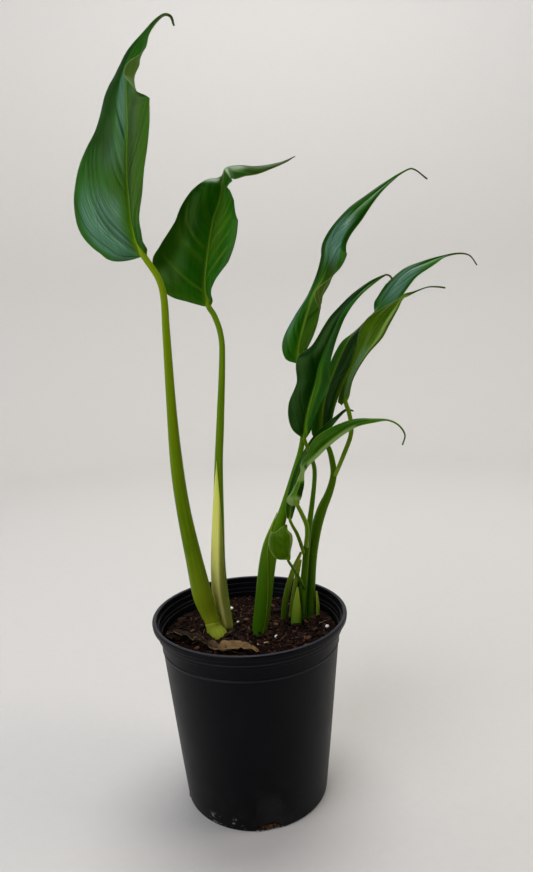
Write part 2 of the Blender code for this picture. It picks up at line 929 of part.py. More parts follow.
def turned(name, profile, group, finish=None):
    """A turned body: a closed profile at +X, listed down its outer side, swept round Z."""
    verts = [(radius, 0.0, height) for radius, height in profile]
    count = len(verts)
    mesh = bpy.data.meshes.new(name)
    mesh.from_pydata((np.asarray(verts) * MM).tolist(), [(i, i + 1) for i in range(count - 1)], [])
    thing = add_object(name, mesh, group, finish)
    screw = thing.modifiers.new("turn", "SCREW")
    screw.steps = ROUND_STEPS
    screw.render_steps = ROUND_STEPS
    screw.use_merge_vertices = True
    screw.merge_threshold = 0.00001
    screw.use_smooth_shade = True
    return thing


def wall_radius(height):
    """Outer radius of the pot's straight taper at a height."""
    top = POT_HEIGHT - POT_RIM_HEIGHT
    share = (height - POT_CORNER) / (top - POT_CORNER)
    return POT_BASE_RADIUS + (POT_BODY_RADIUS - POT_BASE_RADIUS) * share


def pot_profile():
    top = POT_HEIGHT
    under_rim = top - POT_RIM_HEIGHT
    lip_inside = POT_RIM_RADIUS - POT_LIP_WIDTH
    outline = [
        (lip_inside, top - POT_EDGE_ROUND),
        (lip_inside + POT_EDGE_ROUND, top),
        (POT_RIM_RADIUS - POT_EDGE_ROUND, top),
        (POT_RIM_RADIUS, top - POT_EDGE_ROUND),
        (POT_RIM_RADIUS, under_rim),
        (wall_radius(under_rim), under_rim - POT_EDGE_ROUND),
    ]
    for depth in BEAD_DEPTHS:
        for side in (1, 0, -1):
            height = top - depth + side * BEAD_HALF_HEIGHT
            proud = BEAD_PROUD if side == 0 else 0.0
            outline.append((wall_radius(height) + proud, height))
    corner = wall_radius(POT_CORNER)
    outline += [
        (wall_radius(POT_MID_HEIGHT), POT_MID_HEIGHT),
        (corner, POT_CORNER),
        (corner - POT_CORNER * CORNER_CUT, POT_CORNER * CORNER_CUT),
        (corner - POT_CORNER, 0.0),
        (0.0, 0.0),
        (0.0, POT_FLOOR),
        (corner - POT_CORNER, POT_FLOOR),
        (inner_radius(POT_FLOOR + POT_CORNER), POT_FLOOR + POT_CORNER),
        (inner_radius(POT_MID_HEIGHT), POT_MID_HEIGHT),
        (inner_radius(top - LEDGE_DEPTH), top - LEDGE_DEPTH),
        (lip_inside - LEDGE_STEP, top - LEDGE_DEPTH + LEDGE_STEP),
    ]
    outline.append(outline[0])
    return outline


def inner_radius(height):
    return wall_radius(height) - POT_WALL


def make_pot(group, cutters, finish):
    pot = turned("nursery_pot", pot_profile(), group, finish)
    for index in range(DRAIN_HOLES):
        angle = math.radians(DRAIN_FIRST_ANGLE + index * 360.0 / DRAIN_HOLES)
        cut(pot, drain_cutter("drain_%d" % index, angle, cutters))
    return pot


def drain_cutter(name, angle, cutters):
    """A round bar that lies outwards through the bottom corner of the pot."""
    body = bmesh.new()
    bmesh.ops.create_cone(
        body,
        cap_ends=True,
        segments=28,
        radius1=DRAIN_RADIUS * MM,
        radius2=DRAIN_RADIUS * MM,
        depth=DRAIN_DEPTH * MM,
    )
    mesh = bpy.data.meshes.new(name)
    body.to_mesh(mesh)
    body.free()
    thing = hide_cutter(add_object(name, mesh, cutters))
    reach = POT_BASE_RADIUS
    thing.location = Vector((reach * math.cos(angle), reach * math.sin(angle), -DRAIN_SUNK)) * MM
    thing.rotation_euler = (0.0, math.pi / 2, angle)
    return thing


def soil_height(x, y):
    """The soil's uneven top, lower on the left, in millimetres."""
    wave = noise.noise(Vector((x / SOIL_BUMP_SIZE, y / SOIL_BUMP_SIZE, 0.0)))
    return SOIL_LEVEL + SOIL_BUMP * wave + SOIL_TILT * x / POT_BODY_RADIUS


def make_soil(group, finish):
    """Soil filling the pot: rings up the wall, then rings inwards over the uneven top."""
    edge = inner_radius(SOIL_LEVEL) - GAP
    side = [
        (wall_radius(POT_CORNER) - POT_CORNER - GAP - POT_WALL, POT_FLOOR + GAP),
        (inner_radius(POT_FLOOR + POT_CORNER) - GAP * 2, POT_FLOOR + POT_CORNER + GAP),
        (inner_radius(POT_MID_HEIGHT) - GAP, POT_MID_HEIGHT),
    ]
    body = bmesh.new()
    rings = [add_ring(body, radius, lambda x, y, h=height: h) for radius, height in side]
    for index in range(SOIL_RINGS):
        rings.append(add_ring(body, edge * (1 - index / SOIL_RINGS), soil_height))
    for low, high in zip(rings, rings[1:]):
        for here in range(ROUND_STEPS):
            after = (here + 1) % ROUND_STEPS
            body.faces.new((low[here], low[after], high[after], high[here]))
    body.faces.new(list(reversed(rings[0])))
    close_centre(body, rings[-1])
    mesh = bpy.data.meshes.new("potting_soil")
    body.to_mesh(mesh)
    body.free()
    mesh.shade_smooth()
    return add_object("potting_soil", mesh, group, finish)


def add_ring(body, radius, height):
    ring = []
    for step in range(ROUND_STEPS):
        angle = 2 * math.pi * step / ROUND_STEPS
        x, y = radius * math.cos(angle), radius * math.sin(angle)
        ring.append(body.verts.new((x * MM, y * MM, height(x, y) * MM)))
    return ring


def close_centre(body, ring):
    middle = body.verts.new((0.0, 0.0, soil_height(0.0, 0.0) * MM))
    for here in range(ROUND_STEPS):
        body.faces.new((ring[here], ring[(here + 1) % ROUND_STEPS], middle))


def sheath(name, group, finish):
    """A strip wrapped on its stalk: full width at its foot, closing to a point at its top."""
    carrier, low, high, middle, widest = SHEATHS[name]
    line = stalk_rows(carrier)
    order = np.argsort(line[:, 2])
    heights = np.linspace(low, high, SHEATH_ROWS)
    path = np.stack([np.interp(heights, line[order, 2], line[order, axis]) for axis in range(4)], 1)
    along = np.gradient(path[:, :3], axis=0)
    along /= np.linalg.norm(along, axis=1)[:, None]
    verts = []
    for row, (centre, upward) in enumerate(zip(path, along)):
        half = widest * max(1 - (row / (SHEATH_ROWS - 1)) ** 3, SHEATH_TIP)
        across = np.cross((0.0, 1.0, 0.0), upward)
        across /= np.linalg.norm(across)
        away = np.cross(upward, across)
        for column in range(SHEATH_COLUMNS + 1):
            angle = math.radians(middle + half * (2 * column / SHEATH_COLUMNS - 1))
            reach = centre[3] + 2 * GAP
            verts.append(centre[:3] + reach * (math.cos(angle) * across + math.sin(angle) * away))
    mesh = mesh_from(name, verts, grid_faces(SHEATH_ROWS, SHEATH_COLUMNS + 1))
    thing = add_object(name, mesh, group, finish)
    thicken(thing, SHEATH_THICKNESS, offset=-1.0)
    return thing


def lump(name, row, group, finish=None, grow=0.0):
    """A rough grain pressed into the soil for a third of its height."""
    x, y, length, width, height, turn = row
    body = bmesh.new()
    bmesh.ops.create_icosphere(body, subdivisions=2, radius=0.5)
    for vert in body.verts:
        swell_by = 1 + LUMP_ROUGHNESS * noise.noise(vert.co * LUMP_GRAIN + Vector((x, y, 0.0)))
        size = Vector((length * swell_by, width * swell_by, height * swell_by))
        size += Vector((grow, grow, grow)) * 2
        vert.co = Vector((vert.co.x * size.x, vert.co.y * size.y, vert.co.z * size.z)) * MM
    mesh = bpy.data.meshes.new(name)
    body.to_mesh(mesh)
    body.free()
    mesh.shade_smooth()
    thing = add_object(name, mesh, group, finish)
    thing.location = Vector((x, y, soil_height(x, y) + height * LUMP_LIFT)) * MM
    thing.rotation_euler.z = math.radians(turn)
    return thing


def twig_rows():
    """The twig's line over the soil, thinner towards its far end."""
    near = (*TWIG[0], TWIG_RADIUS)
    far = (*TWIG[1], TWIG_RADIUS * TWIG_TAPER)
    rows = []
    for x, y, radius in np.linspace(near, far, TWIG_ROWS):
        rows.append((x, y, soil_height(x, y) + TWIG_LIFT, radius))
    return np.array(rows)


def make_stalks(group, cutters, finish):
    """Every stalk, each with a fattened twin that clears its neighbours."""
    stalks, fat = {}, {}
    for name in (*STALKS, *STEMS):
        rows = stalk_rows(name)
        stalks[name] = tube(name, rows, group, finish)
        fat[name] = hide_cutter(
            tube(name + "_clear", rows, cutters, extra=GAP, end_extra=GAP)
        )
    for name, carrier in CARRIED.items():
        cut(stalks[name], fat[carrier])
    return stalks, fat


def build():
    clear_scene()
    parts = collection("potted_monstera")
    cutters = collection("cutters")
    finishes = {
        name: material(name, colour, ROUGHNESS.get(name, LEAF_ROUGHNESS))
        for name, colour in COLOURS.items()
    }
    make_pot(parts, cutters, finishes["pot"])
    soil = make_soil(parts, finishes["soil"])
    stalks, fat = make_stalks(parts, cutters, finishes["stalk"])
    for name, setting in BLADES.items():
        leaf = blade(name, blade_rails(setting, BLADE_ROWS), parts, finishes["blade"])
        cut(leaf, fat[OWN_STALK[name]], solver="MANIFOLD")
    for name in SHEATHS:
        sheath(name, parts, finishes["sheath"])
    for name, stations in STRAPS.items():
        bedded(name, stations, parts, cutters, finishes["sheath"], soil, SHEATH_ROWS)
    bedded("dry_leaf", DRY_LEAF, parts, cutters, finishes["dry"], soil, DRY_LEAF_ROWS)
    for name in (*ROOTED, *STEMS):
        cut(soil, fat[name])
    for rows, look in ((PERLITE, "perlite"), (BARK, "bark")):
        for name, row in rows.items():
            lump(name, row, parts, finishes[look])
            cut(soil, hide_cutter(lump(name + "_clear", row, cutters, grow=GAP)))
    tube("twig", twig_rows(), parts, finishes["bark"])
    cut(soil, hide_cutter(tube("twig_clear", twig_rows(), cutters, extra=GAP, end_extra=GAP)))


build()
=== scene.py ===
"""A young climbing monstera in a plain nursery pot: how its leaves, stalks, soil and pot look.

Every piece is a surface worked out in numpy as a stack of closed rings. Lengths inside the
shape functions are in millimetres, and they turn to metres where a mesh is made.
"""

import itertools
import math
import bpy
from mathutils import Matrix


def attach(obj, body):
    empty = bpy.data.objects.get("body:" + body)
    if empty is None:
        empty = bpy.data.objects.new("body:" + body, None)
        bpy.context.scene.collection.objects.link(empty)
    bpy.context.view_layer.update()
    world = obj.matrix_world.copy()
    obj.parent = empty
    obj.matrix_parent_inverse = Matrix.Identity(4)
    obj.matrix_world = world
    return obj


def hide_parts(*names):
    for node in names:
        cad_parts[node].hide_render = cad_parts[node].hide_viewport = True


bl_info = {
    "name": "Potted monstera",
    "version": (1, 0, 0),
    "blender": (4, 5, 0),
    "location": "View3D > Sidebar > Monstera",
    "description": "Leaves, stalks, soil and pot of a young potted monstera",
    "category": "Object",
}

import bpy
import numpy as np
from mathutils import Matrix, Vector

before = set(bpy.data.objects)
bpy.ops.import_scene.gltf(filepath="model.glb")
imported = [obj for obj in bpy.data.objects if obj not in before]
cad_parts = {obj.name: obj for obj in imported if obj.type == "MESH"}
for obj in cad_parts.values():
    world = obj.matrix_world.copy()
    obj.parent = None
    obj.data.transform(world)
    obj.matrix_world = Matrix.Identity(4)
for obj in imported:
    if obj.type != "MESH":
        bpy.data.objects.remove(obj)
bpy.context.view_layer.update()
MM = 0.001

BLADE_CURL = 45.0  # how far each half blade bends between midrib and margin, in degrees
# A blade is set out along its midrib, a smooth curve through a few places from base to tip.
# Each half has settings at shares of that length: share, reach, direction, lead. The reach is
# from the midrib to the margin. The direction is in degrees: 0 is sideways, 90 away from the
# front, -90 towards it. The lead is how far the margin runs ahead of the midrib. A roll gives
# the right half a bend of its own, so that its margin can turn over: share, bend in degrees.
BLADES = {
    "tall_leaf": {
        "midrib": (
            (-67, -14, 455),
            (-72, -14, 465),
            (-75, -12, 488),
            (-76, -9, 520),
            (-74, -5, 556),
            (-74, -2, 578),
            (-73, 1, 591),
            (-69, 4, 604),
            (-62, 5, 615),
            (-54, 6, 625),
            (-47, 7, 632),
            (-42, 8, 635),
            (-38, 9, 634),
            (-36, 10, 628),
        ),
        "left": (
            (0.00, 2, 0, 0),
            (0.02, 12, 20, 0),
            (0.05, 31, 20, 2),
            (0.10, 47, 20, 10),
            (0.17, 50, 20, 18),
            (0.25, 42, 20, 26),
            (0.36, 30, 25, 27),
            (0.50, 25, 30, 20),
            (0.62, 17, 35, 13),
            (0.70, 10, 35, 7),
            (0.80, 6, 30, 2),
            (0.91, 2, 30, 0),
            (1.00, 0.7, 0, 0),
        ),
        "right": (
            (0.00, 2, 0, 0),
            (0.02, 8, -50, -2),
            (0.10, 20, -65, -5),
            (0.25, 31, -60, -7),
            (0.36, 35, -55, -4),
            (0.50, 34, -50, 0),
            (0.57, 32, -50, -9),
            (0.62, 27, -65, -14),
            (0.68, 22, -80, -14),
            (0.74, 21, -70, -10),
            (0.80, 15, -50, -4),
            (0.86, 5, -45, -2),
            (0.91, 2, -30, 0),
            (1.00, 0.7, 0, 0),
        ),
        "roll": (
            (0.00, 45), (0.40, 45), (0.52, 30), (0.60, -30), (0.68, -130),
            (0.74, -130), (0.82, 0), (0.90, 45), (1.00, 45),
        ),
    },
    "back_leaf": {
        "midrib": (
            (-21, 3, 416),
            (-23, 5, 432),
            (-21, 7, 450),
            (-14, 11, 484),
            (-8, 13, 500),
            (-5, 15, 516),
            (-4, 19, 524),
            (0, 25, 528),
            (9, 34, 531),
            (21, 43, 532),
            (34, 51, 535),
            (46, 58, 539),
            (56, 64, 544),
        ),
        "left": (
            (0.00, 2, 20, 0),
            (0.05, 17, 10, -2),
            (0.10, 33, 5, -7),
            (0.18, 44, 5, -4),
            (0.27, 39, 5, -7),
            (0.36, 30, 5, -5),
            (0.45, 22, 0, 4),
            (0.50, 13, 10, 6),
            (0.54, 5, 70, 5),
            (0.58, 7, 105, 7),
            (0.63, 5, 120, 8),
            (0.70, 4, 120, 6),
            (0.86, 3, 115, 2),
            (1.00, 0.7, 115, 0),
        ),
        "right": (
            (0.00, 2, 0, 0),
            (0.05, 8, -55, -3),
            (0.10, 15, -55, -2),
            (0.18, 27, -45, 1),
            (0.36, 30, -45, -2),
            (0.45, 20, -50, -3),
            (0.50, 12, -50, -4),
            (0.54, 7, -45, -8),
            (0.58, 10, -20, -12),
            (0.63, 13, -15, -6),
            (0.70, 13, -30, -3),
            (0.78, 10, -35, -2),
            (0.86, 6, -35, -2),
            (1.00, 0.7, -35, 0),
        ),
    },
    "far_leaf": {
        "midrib": (
            (50, 14, 368),
            (50, 15, 378),
            (54, 16, 394),
            (59, 18, 410),
            (65, 19, 424),
            (72, 20, 435),
            (78, 22, 449),
            (81, 24, 464),
            (90, 27, 478),
            (102, 30, 490),
            (117, 33, 502),
            (133, 37, 514),
            (144, 40, 521),
            (153, 42, 524),
            (166, 45, 516),
        ),
        "left": (
            (0.00, 2, 30, -1),
            (0.04, 11, 15, -5),
            (0.12, 14, 15, -8),
            (0.20, 9, 20, -6),
            (0.27, 6, 50, -2),
            (0.33, 7, 40, 0),
            (0.40, 8, 30, 5),
            (0.55, 7, 35, 0),
            (0.64, 6, 30, 2),
            (0.82, 2, 30, 1),
            (0.88, 0.8, 0, 0),
            (1.00, 0.7, 0, 0),
        ),
        "right": (
            (0.00, 2, -30, 0),
            (0.04, 9, -45, 0),
            (0.12, 14, -45, 0),
            (0.20, 17, -60, 1),
            (0.27, 16, -90, -2),
            (0.33, 17, -80, -3),
            (0.40, 17, -55, -5),
            (0.47, 19, -45, -7),
            (0.55, 15, -40, -9),
            (0.64, 11, -30, -3),
            (0.73, 5, -40, 2),
            (0.82, 2, -30, 0),
            (0.88, 0.8, 0, 0),
            (1.00, 0.7, 0, 0),
        ),
        "roll": (
            (0.00, 45), (0.09, 45), (0.16, -60), (0.20, -120), (0.27, -170),
            (0.33, -135), (0.37, -65), (0.43, 45), (1.00, 45),
        ),
    },
    "front_leaf": {
        "midrib": (
            (51, -14, 308),
            (52, -14, 318),
            (56, -13, 334),
            (62, -12, 353),
            (66, -11, 368),
            (80, -9, 398),
            (90, -8, 412),
            (104, -6, 425),
            (120, -3, 434),
            (124, -2, 433),
            (126, -2, 429),
        ),
        "left": (
            (0.00, 1, 0, 0),
            (0.07, 12, 20, -3),
            (0.17, 17, 20, -4),
            (0.29, 15, 15, -4),
            (0.39, 19, 15, -2),
            (0.49, 12, 30, -5),
            (0.60, 9, 35, -3),
            (0.71, 6, 45, 1),
            (0.83, 3, 45, 0),
            (0.94, 0.7, 0, 0),
            (1.00, 0.7, 0, 0),
        ),
        "right": (
            (0.00, 2, 0, 1),
            (0.07, 8, -50, 1),
            (0.17, 14, -55, 4),
            (0.29, 17, -55, 0),
            (0.39, 14, -65, 3),
            (0.60, 8, -65, 3),
            (0.71, 5, -60, 2),
            (0.83, 3, -45, 0),
            (0.94, 0.7, 0, 0),
            (1.00, 0.7, 0, 0),
        ),
    },
    "long_leaf": {
        "midrib": (
            (68, 21, 300),
            (68, 21, 313),
            (71, 22, 334),
            (78, 23, 354),
            (93, 26, 384),
            (104, 28, 396),
            (117, 30, 408),
            (126, 31, 419),
            (135, 33, 430),
            (147, 36, 440),
            (164, 40, 447),
            (180, 44, 452),
            (193, 46, 454),
            (203, 48, 452),
            (210, 50, 444),
        ),
        "left": (
            (0.00, 2, 25, 1),
            (0.05, 8, 10, -6),
            (0.14, 8, 15, -5),
            (0.23, 7, 30, -7),
            (0.30, 7, 40, -5),
            (0.37, 6, 50, -2),
            (0.44, 5, 120, -5),
            (0.52, 4, 120, -5),
            (0.58, 6, 35, -7),
            (0.70, 5, 35, -3),
            (0.78, 3, 30, -3),
            (0.85, 1, 0, 0),
            (1.00, 0.7, 0, 0),
        ),
        "right": (
            (0.00, 2, -25, 0),
            (0.05, 8, -30, -1),
            (0.14, 12, -35, 2),
            (0.23, 14, -40, 0),
            (0.30, 16, -40, -3),
            (0.37, 14, -45, -1),
            (0.44, 13, -55, 0),
            (0.52, 14, -45, 0),
            (0.63, 12, -30, 1),
            (0.70, 9, -30, 4),
            (0.78, 6, -45, 4),
            (0.85, 2, -50, 2),
            (0.92, 0.7, 0, 0),
            (1.00, 0.7, 0, 0),
        ),
    },
    "bright_leaf": {
        "midrib": (
            (86, -2, 336),
            (88, -3, 343),
            (92, -3, 356),
            (99, -3, 371),
            (106, -3, 384),
            (114, -2, 397),
            (124, -1, 408),
            (134, 1, 416),
            (144, 6, 420),
            (156, 8, 424),
            (164, 9, 424),
            (171, 10, 423),
        ),
        "left": (
            (0.00, 2, 35, -5),
            (0.06, 7, 40, -10),
            (0.16, 8, 65, -3),
            (0.28, 7, 70, -1),
            (0.39, 11, 40, -1),
            (0.50, 11, 35, -3),
            (0.61, 8, 55, -5),
            (0.70, 6, 85, -1),
            (0.79, 1, 40, 1),
            (1.00, 0.7, 0, 0),
        ),
        "right": (
            (0.00, 2, 5, 1),
            (0.06, 3, -60, 2),
            (0.16, 5, -70, 2),
            (0.28, 7, -60, 2),
            (0.39, 11, -45, 5),
            (0.50, 10, -45, 4),
            (0.61, 7, -55, 3),
            (0.70, 4, -80, 1),
            (0.79, 1, -40, -1),
            (1.00, 0.7, 0, 0),
        ),
    },
    "low_leaf": {
        "midrib": (
            (43, -22, 256),
            (41, -24, 261),
            (43, -23, 267),
            (45, -25, 272),
            (47, -24, 279),
            (50, -24, 289),
            (59, -24, 298),
            (68, -24, 306),
            (79, -25, 314),
            (91, -26, 320),
            (104, -28, 322),
            (115, -29, 322),
            (123, -30, 318),
            (128, -30, 310),
            (126, -30, 302),
        ),
        "left": (
            (0.00, 2, 10, 0),
            (0.04, 8, 40, -3),
            (0.09, 6, 55, -2),
            (0.13, 7, 65, -2),
            (0.18, 5, 60, -2),
            (0.21, 4, 70, 0),
            (0.26, 6, 70, -3),
            (0.31, 6, 55, 0),
            (0.35, 8, 30, 1),
            (0.43, 9, 25, 0),
            (0.62, 5, 40, -1),
            (0.72, 2, 25, 0),
            (0.81, 0.8, 0, 0),
            (1.00, 0.7, 0, 0),
        ),
        "right": (
            (0.00, 2, 0, 0),
            (0.04, 5, -10, 0),
            (0.13, 4, -30, 1),
            (0.21, 3, -60, 0),
            (0.26, 4, -50, -2),
            (0.35, 5, -55, 1),
            (0.53, 4, -45, 2),
            (0.72, 2, -30, 0),
            (0.81, 0.8, 0, 0),
            (1.00, 0.7, 0, 0),
        ),
    },
    "hidden_leaf": {
        "midrib": (
            (37, -5, 240),
            (38, -8, 250),
            (42, -9, 270),
            (49, -9, 289),
            (58, -7, 304),
            (70, -5, 316),
            (81, 3, 324),
            (88, 6, 328),
            (94, 9, 326),
        ),
        "left": (
            (0.00, 2, 10, 0),
            (0.09, 4, 15, -1),
            (0.26, 4, 30, -2),
            (0.73, 2, 25, 0),
            (0.87, 1, 0, 0),
            (1.00, 0.7, 0, 0),
        ),
        "right": (
            (0.00, 2, 5, 0),
            (0.09, 4, 15, 0),
            (0.26, 5, 25, 0),
            (0.59, 5, 25, 0),
            (0.73, 4, 15, 1),
            (0.87, 2, -10, 1),
            (1.00, 0.7, 0, 0),
        ),
    },
    "spoon_leaf": {
        "midrib": (
            (34, -15, 208),
            (33, -17, 214),
            (32, -18, 221),
            (32, -18, 228),
            (32, -16, 233),
            (34, -14, 238),
        ),
        "left": (
            (0.00, 1, 10, 1),
            (0.18, 10, 20, -4),
            (0.40, 15, 25, 0),
            (0.64, 12, 25, 5),
            (0.80, 5, 25, 2),
            (1.00, 0.7, 0, 0),
        ),
        "right": (
            (0.00, 2, 0, 0),
            (0.18, 4, 30, 0),
            (0.40, 7, 25, 1),
            (0.64, 7, 25, 2),
            (0.80, 3, 5, 2),
            (1.00, 0.7, 0, 0),
        ),
    },
}
NO_ROLL = ((0.0, BLADE_CURL), (1.0, BLADE_CURL))

# Each stalk runs from its blade down to where it roots or joins another: x, y, z, radius.
STALKS = {
    "tall_stalk": (
        (-67, -14, 455, 2.4),
        (-57, -14, 438, 2.5),
        (-54, -13, 424, 2.7),
        (-54, -12, 400, 3.0),
        (-54, -10, 334, 4.0),
        (-53, -8, 288, 5.2),
        (-50, -6, 250, 5.8),
        (-44, -5, 208, 7.0),
        (-39, -4, 177, 8.2),
        (-35, -2, 161, 7.2),
        (-32, -2, 151, 6.2),
    ),
    "back_stalk": (
        (-21, 3, 416, 2.2),
        (-17, 4, 409, 2.3),
        (-13, 4, 396, 2.3),
        (-12, 4, 381, 2.4),
        (-17, 5, 320, 3.2),
        (-20, 6, 288, 3.5),
        (-23, 7, 238, 4.8),
        (-25, 8, 202, 5.8),
        (-25, 10, 176, 6.5),
        (-21, 11, 136, 5.5),
    ),
    "thick_stalk": (
        (50, 14, 368, 1.9),
        (52, 13, 349, 2.0),
        (52, 10, 322, 2.1),
        (50, 8, 300, 2.2),
        (42, 4, 274, 3.0),
        (32, 0, 245, 4.0),
        (27, -2, 232, 5.4),
        (21, -3, 217, 6.3),
        (17, -4, 200, 6.6),
        (11, -5, 160, 6.4),
        (8, -5, 144, 5.7),
    ),
    "front_stalk": (
        (51, -14, 308, 1.5),
        (54, -12, 299, 1.6),
        (57, -9, 290, 1.7),
        (59, -5, 280, 1.8),
        (58, 0, 262, 1.9),
        (52, 10, 216, 2.7),
        (49, 14, 188, 3.0),
        (44, 17, 141, 3.5),
    ),
    "long_stalk": (
        (68, 21, 300, 1.6),
        (73, 20, 295, 2.1),
        (76, 20, 284, 2.5),
        (77, 19, 271, 2.8),
        (73, 19, 256, 3.3),
        (66, 20, 240, 4.3),
        (60, 21, 220, 4.7),
        (56, 23, 192, 4.2),
        (53, 25, 142, 3.9),
    ),
    "bright_stalk": (
        (86, -2, 336, 1.7),
        (89, -1, 326, 1.8),
        (91, 2, 313, 1.9),
        (90, 5, 304, 1.9),
        (86, 9, 292, 1.9),
        (78, 17, 270, 1.7),
    ),
    "low_stalk": (
        (43, -22, 256, 1.6),
        (47, -15, 246, 1.8),
        (51, -6, 233, 1.9),
        (51, 9, 211, 1.9),
    ),
    "hidden_stalk": (
        (37, -5, 240, 1.2),
        (39, -3, 234, 1.3),
        (43, 1, 225, 1.5),
        (49, 12, 203, 1.6),
    ),
    "spoon_stalk": (
        (34, -15, 208, 1.1),
        (38, -9, 199, 1.2),
        (42, -3, 190, 1.3),
        (48, 14, 171, 1.5),
    ),
}

# Stems and grown straps rooted in the soil that carry no blade of their own: x, y, z, radius.
STEMS = {
    "left_stem": (
        (-32.4, -2, 152, 6.1),
        (-31, -3, 147, 6.6),
        (-27.5, -5, 139, 8.5),
        (-27, -5, 118, 6.5),
    ),
}

# Free straps: old leaf bases that lean on the right group. Edge, middle, edge, from root to point.
STRAPS = {
    "outer_strap": (
        ((25.5, 22, 132), (27.5, 21, 132), (30, 22, 132)),
        ((28.5, 18, 160), (31, 17, 160), (34, 18, 160)),
        ((36, 12.5, 188), (38.5, 11.5, 188), (41, 12.5, 188)),
        ((45, 6, 208), (46, 5.5, 207.5), (47, 6, 207)),
    ),
    "inner_strap": (
        ((32.5, 24, 132), (35, 22.5, 132), (37.5, 24, 132)),
        ((35.5, 20, 158), (38, 18.5, 158), (40.5, 20, 158)),
        ((40, 15, 183), (42, 14, 183), (44, 15, 183)),
        ((44.5, 10, 200), (45.5, 9.5, 199.5), (46.5, 10, 199)),
    ),
    "pointed_sheath": (
        ((34, 12, 132), (38.5, 8, 132), (43, 9.5, 132)),
        ((36, 11, 150), (40, 7.5, 150), (44.5, 9.5, 150)),
        ((38.5, 10, 164), (41, 8.5, 164), (43.5, 10, 164)),
        ((41.5, 9.5, 175), (42, 9, 175), (42.5, 9.5, 175)),
    ),
    "right_strap": (
        ((58.5, 26, 132), (60, 25, 132), (61.5, 26, 132)),
        ((58.5, 23.5, 150), (60, 22.5, 150), (61.5, 23.5, 150)),
        ((58.5, 20.5, 166), (59, 20, 166), (59.5, 20.5, 166)),
    ),
}

# The fallen leaf lies in a trough of the soil: left margin, midrib, right margin.
DRY_LEAF = (
    ((-71, -5, 147), (-71, -7, 146), (-71, -9, 147)),
    ((-60, -4, 146), (-60, -8, 143), (-58, -15, 147)),
    ((-44, -12, 146), (-44, -17, 142), (-43, -24, 147)),
    ((-31, -24, 146), (-31, -30, 142), (-30, -39, 147)),
    ((-20, -26, 146), (-20, -33, 142), (-18, -49, 148)),
    ((-8, -25, 146), (-8, -32, 142), (-5, -44, 147)),
    ((1, -34, 146), (2, -38, 143), (2, -46, 147)),
    ((7, -45, 147), (7, -47, 146), (6, -49, 147)),
)

# Loose bits pressed into the soil: x, y, length, width, height, turn in degrees.
PERLITE = {
    "perlite_back": (-19.5, 52.0, 4.2, 3.6, 3.2, 20.0),
    "perlite_middle": (-11.5, 17.0, 3.6, 3.0, 2.8, 65.0),
    "perlite_front": (22.0, -17.5, 4.0, 3.4, 3.0, 130.0),
    "perlite_right": (66.0, 2.5, 3.8, 3.6, 3.0, 10.0),
}
BARK = {
    "bark_chip_left": (-58.0, 38.0, 12.0, 7.0, 3.6, 35.0),
    "bark_chip_front": (42.0, -15.0, 10.0, 6.0, 3.4, 100.0),
    "bark_chip_back": (12.0, 46.0, 11.0, 6.5, 3.6, 160.0),
}
TWIG = ((6.0, -28.0), (15.0, -25.0))

# A sheath is a strip wrapped on a stalk: from height, to height, middle angle, widest half angle.
SHEATHS = {
    "pale_sheath": ("back_stalk", 155.0, 290.0, -110.0, 76.0),
    "thick_stalk_sheath": ("thick_stalk", 152.0, 243.0, 175.0, 125.0),
}

